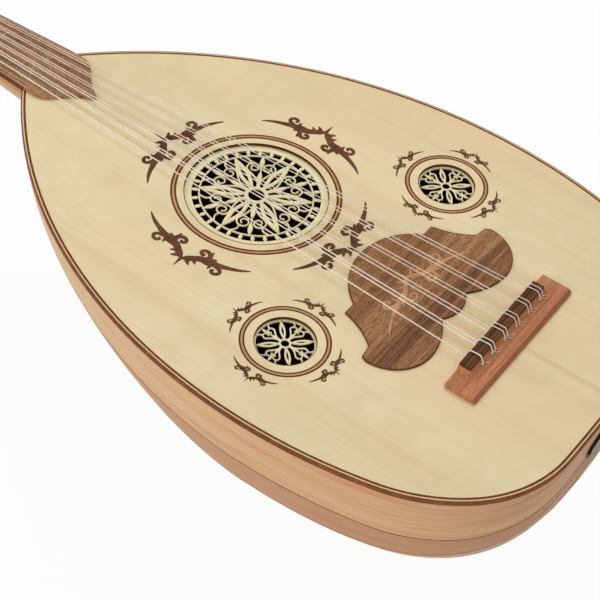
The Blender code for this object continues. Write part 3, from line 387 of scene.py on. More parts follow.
def dress(name, mesh, finish, body="body", replaces=(), sharp=40.0, grain=None):
    """Turn a mesh's faces outwards, give it its finish and shading, and let it ride on its body."""
    bm = bmesh.new()
    bm.from_mesh(mesh)
    bmesh.ops.recalc_face_normals(bm, faces=bm.faces)
    bm.to_mesh(mesh)
    bm.free()
    if grain is not None:
        corners = np.zeros(len(mesh.loops), int)
        mesh.loops.foreach_get("vertex_index", corners)
        layer = mesh.uv_layers.new(name="grain")
        layer.data.foreach_set("uv", np.asarray(grain, np.float32)[corners].ravel())
    mesh.materials.append(finish.material)
    mesh.shade_smooth()
    mesh.set_sharp_from_angle(angle=math.radians(sharp))
    obj = bpy.data.objects.new(name, mesh)
    bpy.context.scene.collection.objects.link(obj)
    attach(obj, body)
    if replaces:
        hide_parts(*replaces)
    PIECES[name] = obj
    return obj


def flat_plate(name, outlines, low, thickness, finish, replaces=()):
    """A flat plate: a 2D curve whose first outline is its edge and whose others are holes."""
    curve = bpy.data.curves.new(name, "CURVE")
    curve.dimensions = "2D"
    curve.fill_mode = "BOTH"
    curve.extrude = thickness / 2
    for outline in outlines:
        spline = curve.splines.new("POLY")
        spline.points.add(len(outline) - 1)
        flat = np.column_stack([outline, np.zeros(len(outline)), np.ones(len(outline))])
        spline.points.foreach_set("co", flat.ravel())
        spline.use_cyclic_u = True
    source = bpy.data.objects.new(name + "_outline", curve)
    bpy.context.scene.collection.objects.link(source)
    bpy.context.view_layer.update()
    mesh = bpy.data.meshes.new_from_object(source.evaluated_get(bpy.context.evaluated_depsgraph_get()))
    bpy.data.objects.remove(source)
    bpy.data.curves.remove(curve)
    bm = bmesh.new()
    bm.from_mesh(mesh)
    bmesh.ops.remove_doubles(bm, verts=bm.verts, dist=0.00001)
    bmesh.ops.translate(bm, vec=(0.0, 0.0, low + thickness / 2), verts=bm.verts)
    bm.to_mesh(mesh)
    bm.free()
    return dress(name, mesh, finish, replaces=replaces)


print("a ring of 8 points, twice, gives", len(skin_faces(2, 8, 0, False)), "faces")

# %% [markdown]
# The face of the oud is a half outline of four arcs, each tangent to the next: a nearly straight
# tail, a tight corner, the hip and the long shoulder that runs to the neck. A point of an arc is its
# centre plus its radius times the sine and cosine of the heading. An inset line, such as the inner
# edge of the binding, has the same centres and shorter radii, so all its strips stay parallel.

# %% Outline of the face
TAIL_Y = -0.195
FACE = ((1.736, 2.1), (0.0978, 44.6), (0.1321, 28.5), (0.4119, None))
HEEL_HALF_WIDTH = 0.0289


def face_arcs():
    """Centre, radius, first and last heading of each arc, from the tail to the neck."""
    arcs, point, heading = [], np.array([0.0, TAIL_Y]), 0.0
    for radius, turn in FACE:
        centre = point + radius * np.array([-math.sin(heading), math.cos(heading)])
        last = heading + math.radians(turn) if turn else math.pi - math.asin((HEEL_HALF_WIDTH - centre[0]) / radius)
        arcs.append((centre, radius, heading, last))
        point = centre + radius * np.array([math.sin(last), -math.cos(last)])
        heading = last
    return arcs


ARCS = face_arcs()


def half_face(inset, steps=40):
    """Right half of the outline, moved inwards by the inset."""
    parts = []
    for centre, radius, first, last in ARCS:
        heading = np.linspace(first, last, steps)
        parts.append(centre + (radius - inset) * np.column_stack([np.sin(heading), -np.cos(heading)]))
    return np.vstack([parts[0]] + [part[1:] for part in parts[1:]])


def whole_face(inset):
    """The closed outline: the right half, then its mirror image back to the tail."""
    right = half_face(inset)
    return np.vstack([right, right[::-1][:-1] * [-1.0, 1.0]])


def circle(centre, radius, count=128):
    """Points of a circle, its centre plus the radius times cosine and sine."""
    angle = np.linspace(0.0, 2 * np.pi, count, endpoint=False)
    return np.asarray(centre) + radius * np.column_stack([np.cos(angle), np.sin(angle)])


print("face is", round(float(2000 * half_face(0.0)[:, 0].max()), 1), "mm wide, to y", round(ARCS[-1][0][1], 3))

# %% [markdown]
# The soundboard is a thin plate of pale spruce with three round holes. Its grain runs straight from
# neck to tail, in lines about a millimetre apart. A flat outline with holes is a 2D curve, which
# Blender fills by itself. The board is two halves glued along the middle, so the slow colour of the
# wood is mirrored there, which is what the absolute value of X does.

# %% Soundboard
EDGE_WIDTH = 0.0037
BOARD_THICKNESS = 0.0020
HOLE = {"main": 0.0533, "bass": 0.0213, "treble": 0.0213}


def soundboard_wood():
    """Bookmatched spruce: ring lines at a spacing that drifts across, fine fibres and a faint seam."""
    finish = Finish("soundboard_spruce", 0.46, 0.08)
    x, y, z = finish.axes()
    across = finish.math("ABSOLUTE", x)
    drift = finish.noise((14.0, 1.1, 1.0), 2.0)
    lines = finish.math("SINE", 3400.0 * across + 34.0 * drift + 1.2 * y) * 0.5 + 0.5
    fine = finish.noise((1500.0, 7.0, 1.0), 2.0)
    silk = finish.noise((40.0, 55.0, 1.0), 3.0, (2.0, 5.0, 0.0))
    slow = finish.noise((13.0, 2.6, 1.0), 3.0, (4.0, 2.0, 0.0))
    tone = 0.09 * lines + 0.26 * fine + 0.32 * silk + 0.66 * slow - 0.17
    patch = finish.noise((9.0, 6.0, 1.0), 2.0, (9.0, 1.0, 0.0)).between(0.42, 0.68)
    streak = finish.noise((42.0, 1.6, 1.0), 3.0, (1.0, 8.0, 0.0)).between(0.50, 0.72)
    seam = (1.0 - finish.math("ABSOLUTE", x + 0.004 * (silk - 0.5)).between(0.0002, 0.0042)) * (0.3 + fine)
    pale = finish.mix(tone.between(0.0, 1.0), colour(237, 221, 178), colour(206, 184, 136))
    warm = finish.mix(0.42 * patch, pale, colour(228, 198, 152))
    streaked = finish.mix(0.42 * streak, warm, colour(216, 178, 132))
    finish.set("Base Color", finish.mix(0.26 * seam, streaked, colour(172, 118, 70)))
    finish.set("Roughness", 0.40 + 0.14 * fine)
    finish.relief(0.6 * fine + 0.4 * lines, 0.00003)
    return finish


SPRUCE = soundboard_wood()
board_outlines = [whole_face(EDGE_WIDTH)] + [circle(ROSETTES[name], HOLE[name]) for name in HOLE]
board = flat_plate("soundboard_face", board_outlines, TOP - BOARD_THICKNESS, BOARD_THICKNESS, SPRUCE,
                   replaces=["soundboard"])
print("soundboard with", len(board.data.polygons), "faces")

# %% [markdown]
# Strips of coloured wood run round the face and round each hole: dark, salmon, dark. Each strip is
# a small rectangle, or a rounded one at the outside corner, carried along an outline. For every
# corner of the rectangle the whole outline is drawn at that inset, so one array holds the strip.

# %% Binding and rings
DARK = wood("inlay_dark", colour(108, 66, 34), colour(62, 32, 14), (700, 700, 700), (150, 150, 150), 2.4, 0.55,
            coat=0.0, gleam=0.05)
BROWN = wood("inlay_brown", colour(138, 86, 50), colour(92, 52, 26), (500, 500, 500), (90, 90, 90), 2.2, 0.55,
             coat=0.0, gleam=0.08)
SALMON = wood("inlay_salmon", colour(206, 158, 118), colour(176, 122, 82), (300, 300, 300), (60, 60, 60),
              coat=0.0, gleam=0.08)
BLOND = wood("inlay_blond", colour(240, 202, 162), colour(214, 172, 130), (300, 300, 300), (60, 60, 60),
             coat=0.0, gleam=0.08)
UMBER = wood("inlay_umber", colour(120, 77, 40), colour(78, 46, 22), (700, 700, 700), (150, 150, 150), 2.4, 0.55,
             coat=0.0, gleam=0.05)
PROUD = 0.00008              # inlay above the wood round it
SUNK = 0.0006                # and down into it


def strip(line, profile):
    """Carry a profile of insets and heights along a closed line that is a function of the inset."""
    sides = [np.column_stack([line(inset), np.full(len(line(inset)), height)]) for inset, height in profile]
    return np.stack(sides, axis=1)


def bar(inner, outer):
    """The profile of a flat strip between two insets."""
    return ((inner, TOP + PROUD), (outer, TOP + PROUD), (outer, TOP - SUNK), (inner, TOP - SUNK))


EDGE_DROP = 0.0037
edge = ((0.0, TOP - EDGE_DROP), (0.0, TOP - 0.0005), (0.00015, TOP - 0.00015), (0.0005, TOP),
        (0.0011, TOP), (0.0011, TOP - EDGE_DROP))
piece("binding_outer", BROWN, loops=[strip(whole_face, edge)], replaces=["edge_binding"])
piece("binding_middle", BLOND, loops=[strip(whole_face, bar(0.0011, 0.0020))])
piece("binding_inner", UMBER, loops=[strip(whole_face, bar(0.0020, EDGE_WIDTH))])
RING_EDGES = {"main": (0.930, 0.953, 0.976, 0.999), "bass": (0.438, 0.456, 0.479, 0.498)}
HOLE_SHADE_LINE = 0.0004           # width of the painted shade line round each hole
RING_EDGES["treble"] = RING_EDGES["bass"]
for name, centre in ROSETTES.items():
    edges = [RING * share for share in RING_EDGES[name]]
    round_line = lambda radius, centre=centre: circle(centre, radius, 160)
    hole = HOLE[name]
    # painted shade: a dark ring on the board round each hole, and dark wood down its wall, stand in for the shadow at
    # the hole's edge
    hole_shade_lining = ((hole - 0.0001, TOP + PROUD), (hole + HOLE_SHADE_LINE, TOP + PROUD), (hole + HOLE_SHADE_LINE, TOP - SUNK),
              (hole, TOP - SUNK), (hole, TOP - BOARD_THICKNESS), (hole - 0.0001, TOP - BOARD_THICKNESS))
    dark = [strip(round_line, profile) for profile in (bar(edges[0], edges[1]), bar(edges[2], edges[3]), hole_shade_lining)]
    piece(f"ring_dark_{name}", DARK, loops=dark)
    piece(f"ring_salmon_{name}", SALMON, loops=[strip(round_line, bar(edges[1], edges[2]))])
print("strips so far:", len(PIECES) - 1)

# %% [markdown]
# The bowl is made of eleven ribs, thin boards bent over a mould and glued edge to edge. All seams
# meet at a point below the tail and at another in the neck. In each cross-section the bowl is an
# ellipse with the width of the face, and a seam is where a line from the meeting point, at a
# multiple of a fixed angle, cuts that ellipse. Between its seams a rib is a little flatter than the
# ellipse. The grain map runs along each rib in metres, so that the wood bends with the board.

# %% Shape of the bowl
TAIL_REACH = 0.195
BOWL_DEPTH = 0.194
HEEL_DEPTH = 0.033
TAIL_FULLNESS = 3.05
NECK_FALL = 1.51
RIB_COUNT = 11
RIB_ANGLE = math.pi / RIB_COUNT
RIB_THICKNESS = 0.003
RIB_CROWN = 0.6
TAIL_POLE_DROP = 0.0204
NECK_POLE_RISE = 0.010
TAIL_FACE_DEPTH = 0.033
POLE_RADIUS = 0.005
JOINT_Y = NECK_Y - 0.0003    # the plane between body and neck


def width_at(y, inward):
    """Half width of the face, read from its outline inside an inset."""
    line = half_face(inward, 200)
    return np.interp(y, line[:, 1], line[:, 0])


def depth_at(y, inward):
    """Depth of the bowl: a superellipse from the middle to the tail, a falling power to the neck."""
    tail = np.clip(-y / (TAIL_REACH - inward), 0.0, 1.0)
    neck = np.clip(y / JOINT_Y, 0.0, 1.0)
    tailward = (BOWL_DEPTH - inward) * (1.0 - tail ** TAIL_FULLNESS) ** (1.0 / TAIL_FULLNESS)
    return np.where(y < 0.0, tailward, HEEL_DEPTH - inward + (BOWL_DEPTH - HEEL_DEPTH) * (1.0 - neck ** NECK_FALL))


def pole_at(y):
    """How far below the soundboard the seam planes cross: nothing at the middle of the bowl."""
    return TAIL_POLE_DROP * np.clip(-y / TAIL_REACH, 0.0, 1.0) ** 2 - NECK_POLE_RISE * np.clip(y / JOINT_Y, 0.0, 1.0)


def bowl_point(y, angle, inward=0.0):
    """X and depth of the ellipse, met by a ray from the crossing at an angle below the soundboard."""
    wide, deep, drop = width_at(y, inward), depth_at(y, inward), pole_at(y)
    a = np.cos(angle) ** 2 / wide ** 2 + np.sin(angle) ** 2 / deep ** 2
    b = drop * np.sin(angle) / deep ** 2
    reach = (-b + np.sqrt(b * b - a * (drop ** 2 / deep ** 2 - 1.0))) / a
    return np.stack([-reach * np.cos(angle), drop + reach * np.sin(angle)], axis=-1)


def seam(y, angle, inward):
    """Where a seam lies, or the rim for the first angle. Near the neck the rim cuts the seams short."""
    rim = EDGE_DROP if angle <= 0.0 else EDGE_DROP + 0.0015
    deep = depth_at(y, inward)
    at_rim = np.stack([-width_at(y, inward) * np.sqrt(1.0 - (rim / deep) ** 2), np.full_like(y, rim)], axis=-1)
    if angle <= 0.0:
        return at_rim
    free = bowl_point(y, angle, inward)
    return np.where(free[:, 1:] < rim, at_rim, free)


last_turn = math.acos((TAIL_FACE_DEPTH / BOWL_DEPTH) ** (TAIL_FULLNESS / 2))
tail_rows = TAIL_Y * np.sin(np.linspace(last_turn, 0.0, 36)) ** (2 / TAIL_FULLNESS)
ROWS = np.concatenate([tail_rows, JOINT_Y * np.linspace(0.0, 1.0, 41)[1:] ** 1.2])
print("deepest", round(float(depth_at(np.array([0.0]), 0.0)[0]), 4), "m, rows along a rib:", len(ROWS))

# %% [markdown]
# A rib's ring has nine points outside and nine inside, 3 mm further in. At the tail every rib ends
# on a small circle round the meeting point, which the clasp covers. The middle rib has the small
# flat on which the oud rests, so no point goes below zero.

# %% Ribs


def rib_rings(first, last):
    """Rings of one bass-side rib between two seam angles, as an array (rows, 18, 3)."""
    share = np.linspace(0.0, 1.0, 9)[None, :, None]
    a, b = seam(ROWS, first, 0.0), seam(ROWS, last, 0.0)
    chord = a[:, None] + (b - a)[:, None] * share
    pole = pole_at(ROWS)
    low = np.arctan2(a[:, 1] - pole, -a[:, 0])
    high = np.arctan2(b[:, 1] - pole, -b[:, 0])
    angles = low[:, None] + (high - low)[:, None] * share[0, :, 0]
    full = bowl_point(ROWS[:, None], angles)
    crown = RIB_CROWN * (1.0 - np.abs(2.0 * share - 1.0) ** 6)
    outer = chord + (full - chord) * crown
    inside = np.where(ROWS < 0.0, ROWS * (1.0 - RIB_THICKNESS / TAIL_REACH), ROWS)
    a_in, b_in = seam(inside, first, RIB_THICKNESS), seam(inside, last, RIB_THICKNESS)
    inner = (a_in[:, None] + (b_in - a_in)[:, None] * share)[:, ::-1]
    flat = np.concatenate([outer, inner], axis=1)
    y = np.repeat(np.stack([ROWS, inside], axis=1), 9, axis=1)
    rings = np.stack([flat[..., 0], y, np.maximum(TOP - flat[..., 1], 0.0)], axis=-1)
    return np.concatenate([tail_ring(first, last, rings[0])[None], rings])


def tail_ring(first, last, ring):
    """The end of a rib: its outer points drawn in to the small circle, its inner ones behind them."""
    angle = np.linspace(first, last, 9)
    if first <= 0.0:
        angle[1:] = np.linspace(-math.pi / 2, last, 8)
    x, depth = -POLE_RADIUS * np.cos(angle), TAIL_POLE_DROP + POLE_RADIUS * np.sin(angle)
    if first <= 0.0:
        x[0], depth[0] = 0.0, EDGE_DROP
    outside = np.stack([x, np.full(9, TAIL_Y), TOP - depth], axis=-1)
    return np.concatenate([outside, outside[::-1] + [0.0, RIB_THICKNESS, 0.0]])


RIB_SHIFT = 0.37
INSIDE_SHIFT = 20.0


def grain_map(rings, shift):
    """Distance across and along a rib, moved so that no two ribs match, and far away for the inside."""
    centre = rings.mean(axis=1)
    along = np.concatenate([[0.0], np.cumsum(np.linalg.norm(np.diff(centre, axis=0), axis=1))])
    step = np.linalg.norm(np.diff(rings, axis=1), axis=2)
    across = np.concatenate([np.zeros((len(rings), 1)), np.cumsum(step, axis=1)], axis=1)
    across = across - across[:, 8:9] / 2 + shift
    across[:, 9:] += INSIDE_SHIFT
    return np.stack([across, along[:, None] + np.zeros_like(across) + 3.0 * shift], axis=-1).reshape(-1, 2)


def rib_finish():
    """Lacquered wood with orange streaks, greyer towards the neck, and with painted shade inside: dark where
    the map has its far values. Every second rib is a little pinker: the cosine of the way across, counted in
    shifts from rib to rib, is 1 there and -1 on the others.
    """
    finish = wood("rib_wood", colour(221, 182, 139), colour(182, 130, 86), (1000, 12, 1), (110, 1.5, 1), 2.1,
                  coat=0.03, uv="grain", gleam=0.06)
    across, along, unused = finish.axes()
    spot = finish.node("TexCoord", output="Object")
    neckward = finish.node("SeparateXYZ", inputs={"Vector": spot}, output="Y").between(-0.12, 0.16)
    tan = Value(finish, finish.shader.inputs["Base Color"].links[0].from_socket)
    flush = finish.noise((24.0, 3.0, 1.0), 3.0, (4.0, 6.0, 0.0)).between(0.45, 0.70)
    blushed = finish.mix(0.40 * flush, tan, colour(200, 146, 106))
    streak = finish.noise((120.0, 8.0, 1.0), 2.0, (5.0, 2.0, 0.0)).between(0.53, 0.66)
    blushed = finish.mix(0.50 * streak, blushed, colour(190, 118, 70))
    blushed = finish.mix(0.55 * neckward, blushed, colour(200, 175, 136))
    second = finish.math("COSINE", across * (math.pi / RIB_SHIFT)).between(-0.5, 0.5)
    outside = finish.mix(0.60 * second, blushed, colour(166, 108, 72))
    # painted shade: the inner faces of the ribs are painted almost black, as the closed bowl is dark inside
    inside = across.between(INSIDE_SHIFT - 1.0, INSIDE_SHIFT - 0.5)
    finish.set("Base Color", finish.mix(inside, outside, colour(34, 20, 14)))
    return finish


def seam_strip(k, side):
    """A dark line along seam k: four points across it, square to the skin of the bowl."""
    angle = k * RIB_ANGLE
    flat = seam(ROWS, angle, 0.0)
    free = flat[:, 1] > EDGE_DROP + 0.0016
    flat, y = flat[free], ROWS[free]
    pole = np.concatenate([[TAIL_POLE_DROP], pole_at(y)])
    end = (-POLE_RADIUS * math.cos(angle), TAIL_POLE_DROP + POLE_RADIUS * math.sin(angle))
    flat, y = np.vstack([end, flat]), np.concatenate([[TAIL_Y], y])
    points = np.column_stack([flat[:, 0], y, TOP - flat[:, 1]])
    out = np.column_stack([flat[:, 0], 0.0 * y, pole - flat[:, 1]])
    out /= np.linalg.norm(out, axis=1)[:, None]
    across = np.column_stack([out[:, 2], 0.0 * y, -out[:, 0]])
    normal = np.cross(np.gradient(points, axis=0), across)
    normal /= np.linalg.norm(normal, axis=1)[:, None]
    normal *= np.sign(np.sum(normal * (out - [0.0, 0.5, 0.0]), axis=1))[:, None]
    corners = ((0.0004, 0.00008), (0.0004, -0.001), (-0.0004, -0.001), (-0.0004, 0.00008))
    rings = np.stack([points + a * across + n * normal for a, n in corners], axis=1)
    return rings * [side, 1.0, 1.0]


RIB_WOOD = rib_finish()
for i in range(RIB_COUNT):
    k = min(i, RIB_COUNT - 1 - i)
    rings = rib_rings(k * RIB_ANGLE, (k + 1) * RIB_ANGLE)
    if k != i:
        rings = rings * [-1.0, 1.0, 1.0]
    piece(f"bent_rib_{i + 1:02d}", RIB_WOOD, skins=[rings], replaces=[f"rib_{i + 1:02d}"],
          sharp=30.0, grain=grain_map(rings, RIB_SHIFT * (i + 1)))
piece("seam_lines", DARK, skins=[seam_strip(k, side) for k in range(1, 6) for side in (1.0, -1.0)])
print("ribs:", RIB_COUNT, "with", rings.shape[0] * rings.shape[1], "points each")

# %% [markdown]
# The neck is half round underneath and flat on top. It gets narrower and thinner towards the nut.
# The real one carries a dark line and a strip of orange wood along its upper edge, with paler wood
# below: stripes at fixed heights, so they belong in the finish and not in the shape.

# %% Neck
NUT_HALF_WIDTH = 0.0185
NECK_END_DEPTH = 0.021
PEGBOX_BEND = math.radians(54.5)
GAP = 0.0003


def neck_finish():
    """Pale wood under an orange strip under a dark line, told apart by the depth below the top."""
    finish = wood("neck_strips", colour(214, 172, 134), colour(184, 136, 98), (900, 14, 900), (130, 2.2, 130))
    x, y, z = finish.axes()
    depth = TOP - z
    pale = finish.shader.inputs["Base Color"].links[0].from_socket
    strip_tone = finish.noise((700, 12, 700), 2.0)
    orange = finish.mix(strip_tone, colour(206, 146, 96), colour(164, 100, 58))
    coloured = finish.mix(depth.between(0.0060, 0.0066), orange, Value(finish, pale))
    finish.set("Base Color", finish.mix(depth.between(0.0014, 0.0018), colour(98, 50, 26), coloured))
    return finish


share = np.linspace(0.0, 1.0, 40)[:, None]
angle = np.linspace(0.0, math.pi, 41)[None]
wide = HEEL_HALF_WIDTH + (NUT_HALF_WIDTH - HEEL_HALF_WIDTH) * share
deep = HEEL_DEPTH + (NECK_END_DEPTH - HEEL_DEPTH) * (1.0 - (1.0 - share) ** 2)
down = -deep * np.sin(angle)
lean = down * math.tan(PEGBOX_BEND / 2) * share ** 3
neck_rings = np.stack([wide * np.cos(angle), NECK_Y + (NUT_Y - NECK_Y) * share + lean, TOP + down], axis=-1)
piece("carved_neck", neck_finish(), skins=[neck_rings], replaces=["neck"])
print("neck", round(float(1000 * (NUT_Y - NECK_Y))), "mm long")

# %% [markdown]
# The pegbox bends back from the neck, so it has axes of its own: along it, and out of its open front.
# Both are the frame's axes turned about X by the bend. Neck and pegbox meet in a plane that halves
# the bend. The pegbox's back is cut square, which would leave a wedge open there, so a heel fills it:
# four corners given along the pegbox and out of it, drawn from cheek to cheek.

# %% Pegbox heel
ALONG = np.array([0.0, math.cos(PEGBOX_BEND), -math.sin(PEGBOX_BEND)])
OUT = np.array([0.0, math.sin(PEGBOX_BEND), math.cos(PEGBOX_BEND)])
CORNER = np.array([0.0, NUT_Y, TOP])
HEEL_LOW = 0.0006 - NECK_END_DEPTH
HEEL_HIGH = -0.0130
HEEL_BITE = 0.0006
BACK_TOP = 0.0040 - NECK_END_DEPTH
half_bend = math.tan(PEGBOX_BEND / 2)
back_start = NECK_END_DEPTH * half_bend + GAP
heel = ((-HEEL_LOW * half_bend + 0.0001, HEEL_LOW), (back_start, HEEL_LOW), (back_start, BACK_TOP),
        (-HEEL_HIGH * half_bend + 0.0001, HEEL_HIGH))
flat = np.array([CORNER + u * ALONG + v * OUT for u, v in heel])
heel_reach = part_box("pegbox_back")[1].x + GAP + HEEL_BITE
PEGBOX_WOOD = wood("pegbox_wood", colour(194, 150, 112), colour(150, 104, 70), (900, 14, 900), (150, 2.4, 150), 2.0,
                   tilt=PEGBOX_BEND)
piece("pegbox_heel", PEGBOX_WOOD,
      skins=[np.stack([flat + [x, 0.0, 0.0] for x in (-heel_reach, heel_reach)])])
print("heel", round(2000 * heel_reach, 1), "mm wide")

# %% [markdown]
# Carved and inlaid lines are strands: a planar line with a width that changes along it, and a
# profile drawn square to it at each point. A flat profile makes an inlay. A round one makes carved
# fretwork. The lines themselves go through a few points as a cubic curve that leaves each point in
# the direction from the last one to the next.

# %% Strands


def through(points, steps=6):
    """A smooth curve through points, by the cubic of Catmull and Rom on every stretch."""
    p = np.asarray(points, float)
    p = np.vstack([2 * p[0] - p[1], p, 2 * p[-1] - p[-2]])
    a, b, c, d = (part[:, None] for part in (p[:-3], p[1:-2], p[2:-1], p[3:]))
    s = np.linspace(0.0, 1.0, steps, endpoint=False)[None, :, None]
    curve = b + 0.5 * s * (c - a + s * (2 * a - 5 * b + 4 * c - d + s * (3 * (b - c) + d - a)))
    return np.vstack([curve.reshape(-1, p.shape[1]), p[-2]])


def strand(line, widths, profile, closed=False):
    """Rings across a planar line. The profile gives each point's share of the half width, and height."""
    line = np.asarray(line, float)
    ahead = np.roll(line, -1, axis=0) - np.roll(line, 1, axis=0) if closed else np.gradient(line, axis=0)
    ahead /= np.linalg.norm(ahead, axis=1)[:, None]
    aside = np.column_stack([-ahead[:, 1], ahead[:, 0]]) * np.broadcast_to(widths, len(line))[:, None] / 2
    shares, heights = np.transpose(profile)
    flat = line[:, None] + aside[:, None] * shares[None, :, None]
    return np.dstack([flat, np.broadcast_to(heights, flat.shape[:2])])


def flat_profile(low, high):
    """Corners of an inlay."""
    return [(1.0, low), (1.0, high), (-1.0, high), (-1.0, low)]


def round_profile(low, foot, high):
    """A carved line: square feet up to a height, and a round back over them."""
    turn = np.linspace(0.0, math.pi, 7)
    back = np.column_stack([np.cos(turn), foot + (high - foot) * np.sin(turn)])
    return [(1.0, low)] + [tuple(point) for point in back] + [(-1.0, low)]


def turned(points, angle):
    """Points turned counterclockwise round the origin by an angle in degrees."""
    c, s = math.cos(math.radians(angle)), math.sin(math.radians(angle))
    return np.asarray(points) @ np.array([[c, s], [-s, c]])


print("a curve through 3 points has", len(through([(0, 0), (1, 0), (1, 1)])), "points")

# %% [markdown]
# Round each rosette stand four dark scrolls, and their halves mirror each other. One half is nine
# strands. Their points are distance out from the rosette, distance to the side and width, all as
# shares of the main ring's radius. Small rosettes have the same scroll, moved in and made smaller.
# A pale one, a little wider, lies on the pickguard.

# %% Scroll inlays
SCROLL = (
    ((1.52, 0.0, 0.010), (1.46, 0.0, 0.024), (1.40, 0.0, 0.044), (1.355, 0.0, 0.056)),
    ((1.380, 0.006, 0.030), (1.350, 0.050, 0.082), (1.30, 0.11, 0.080), (1.255, 0.18, 0.090),
     (1.238, 0.27, 0.108), (1.215, 0.37, 0.080), (1.175, 0.48, 0.058), (1.12, 0.60, 0.042),
     (1.06, 0.69, 0.022), (1.04, 0.715, 0.006)),
    ((1.34, 0.060, 0.060), (1.385, 0.085, 0.048), (1.418, 0.128, 0.010)),
    ((1.30, 0.110, 0.060), (1.335, 0.145, 0.040), (1.362, 0.180, 0.008)),
    ((1.225, 0.33, 0.060), (1.245, 0.40, 0.050), (1.262, 0.445, 0.046), (1.30, 0.462, 0.044),
     (1.335, 0.435, 0.044), (1.342, 0.395, 0.042), (1.315, 0.372, 0.042), (1.290, 0.392, 0.020)),
    ((1.245, 0.215, 0.076), (1.20, 0.240, 0.066), (1.15, 0.228, 0.058), (1.118, 0.18, 0.050),
     (1.128, 0.130, 0.046), (1.165, 0.115, 0.046), (1.190, 0.150, 0.044), (1.165, 0.175, 0.020)),
    ((1.16, 0.215, 0.060), (1.12, 0.235, 0.036), (1.080, 0.225, 0.008)),
    ((1.21, 0.28, 0.065), (1.175, 0.30, 0.036), (1.160, 0.335, 0.008)),
    ((1.25, 0.300, 0.060), (1.295, 0.320, 0.034), (1.325, 0.310, 0.008)),
)


def scroll_strands(place, profile, wide=1.0):
    """Both halves of the scroll. Place turns distance out and aside into X and Y."""
    strands = []
    for points in SCROLL:
        line = through(points)
        for side in (1.0, -1.0):
            flat = place(line[:, 0], side * line[:, 1])
            strands.append(strand(flat, RING * wide * line[:, 2], profile(len(strands))))
    return strands


SCROLL_WOOD = wood("inlay_scroll", colour(116, 76, 48), colour(76, 42, 24), (900, 900, 900), (260, 260, 260), 2.8,
                   coat=0.0, gleam=0.06)


def inlay_profile(k):
    """A flat profile that lies a hundredth of a millimetre above the one of the strand before."""
    return flat_profile(TOP - SUNK, TOP + PROUD + 0.00001 * k)


for name, centre in ROSETTES.items():
    shrink, shift = (1.0, 0.0) if name == "main" else (0.41, 0.0916)
    strands = []
    for angle in (0.0, 90.0, 180.0, 270.0):
        def place(out, aside, angle=angle):
            flat = np.column_stack([shrink * out + shift, shrink * aside])
            return centre + RING * turned(flat, angle)

        strands += scroll_strands(place, inlay_profile, shrink)
    piece(f"scrolls_{name}", SCROLL_WOOD, skins=strands)
print("scroll strands:", len(strands), "round each rosette")

# %% [markdown]
# The rosettes are discs of pale wood, glued under the board and carved through. Their pattern is a
# wreath of leaves between pairs of scrolls, which grow from a ring in the middle. Each line is a
# strand with a round back. Round the main rosette's wreath runs a ring of beads, each a small
# ellipsoid between two openings.

# %% Rosettes
DISC_LOW = TOP - BOARD_THICKNESS - 0.0018
DISC_HIGH = TOP - BOARD_THICKNESS - 0.0003
CARVED = round_profile(DISC_HIGH - 0.0009, DISC_HIGH - 0.0003, DISC_HIGH + 0.0003)
FIELD = {"main": 0.0416, "bass": 0.0200, "treble": 0.0200}
FRET_EDGE = {"main": 0.0478, "bass": 0.0200, "treble": 0.0200}
BEADS = 32


def rosette_wood():
    """Pale carved wood, with painted shade: darker where it lies deeper than the faces of its lines."""
    finish = wood("rosette_wood", colour(248, 237, 196), colour(229, 213, 164), (500, 60, 500), (120, 12, 120),
                  gloss=0.5, coat=0.0)
    x, y, z = finish.axes()
    base = finish.shader.inputs["Base Color"].links[0].from_socket
    # painted shade: the carving's walls and the disc below its lines are mixed towards brown, as if in shadow
    depth = 1.0 - z.between(DISC_HIGH - 0.0010, DISC_HIGH - 0.0002)
    finish.set("Base Color", finish.mix(0.5 * depth, Value(finish, base), colour(120, 96, 62)))
    return finish


def leaf_sides(low, high, half, slit_low, slit_high, slit_half):
    """A leaf on the +Y axis as two strands, one each side of its slit."""
    y = np.linspace(low + 0.01, high - 0.01, 22)
    outer = half * np.sin(np.pi * (y - low) / (high - low))
    slit = slit_half * np.sin(np.pi * np.clip((y - slit_low) / (slit_high - slit_low), 0.0, 1.0))
    return [(np.column_stack([side * (outer + slit) / 2, y]), outer - slit) for side in (1.0, -1.0)]


def bud(low, high, half):
    """A small whole leaf on the +Y axis."""
    y = np.linspace(low + 0.005, high - 0.005, 12)
    return np.column_stack([0.0 * y, y]), 2 * half * np.sin(np.pi * (y - low) / (high - low))


def curl(line_width, last_turn):
    """A stem from the hub that ends in a spiral with a small knob."""
    turn = np.radians(np.linspace(-38.0, last_turn, 40))
    radius = 0.132 - 0.090 * (turn - turn[0]) / math.radians(450.0)
    spiral = np.array([0.134, 0.70]) + radius[:, None] * np.column_stack([np.cos(turn), np.sin(turn)])
    stem = through([(0.010, 0.17), (0.030, 0.35), (0.115, 0.485), tuple(spiral[0])], 8)
    line = np.vstack([stem[:-1], spiral])
    widths = line_width * np.interp(np.arange(len(line)), (0, len(stem), len(line) - 4, len(line) - 1), (1.3, 1.2, 0.9, 1.8))
    return line, widths


def wreath(leaves, line_width, last_turn):
    """All lines of the fretwork in a circle of radius 1, as pairs of a line and its widths."""
    mirror = np.array([-1.0, 1.0])
    lines = []
    for k in range(leaves):
        axis = 360.0 * k / leaves
        spiral, spiral_widths = curl(line_width, last_turn)
        tendril = through([(0.20, 0.80), (0.24, 0.89), (0.35, 0.955)], 8)
        for line, widths in ((spiral, spiral_widths), (tendril, 1.1 * line_width)):
            lines += [(turned(line, axis), widths), (turned(line * mirror, axis), widths)]
        for line, widths in leaf_sides(0.14, 1.03, 0.105, 0.34, 0.78, 0.036):
            lines.append((turned(line, axis + 180.0 / leaves), widths))
        stalk = (np.array([(0.0, 0.55), (0.0, 0.65), (0.0, 0.75)]), line_width)
        for line, widths in (bud(0.30, 0.62, 0.042), stalk, bud(0.68, 1.03, 0.045)):
            lines.append((turned(line, axis), widths))
    return lines


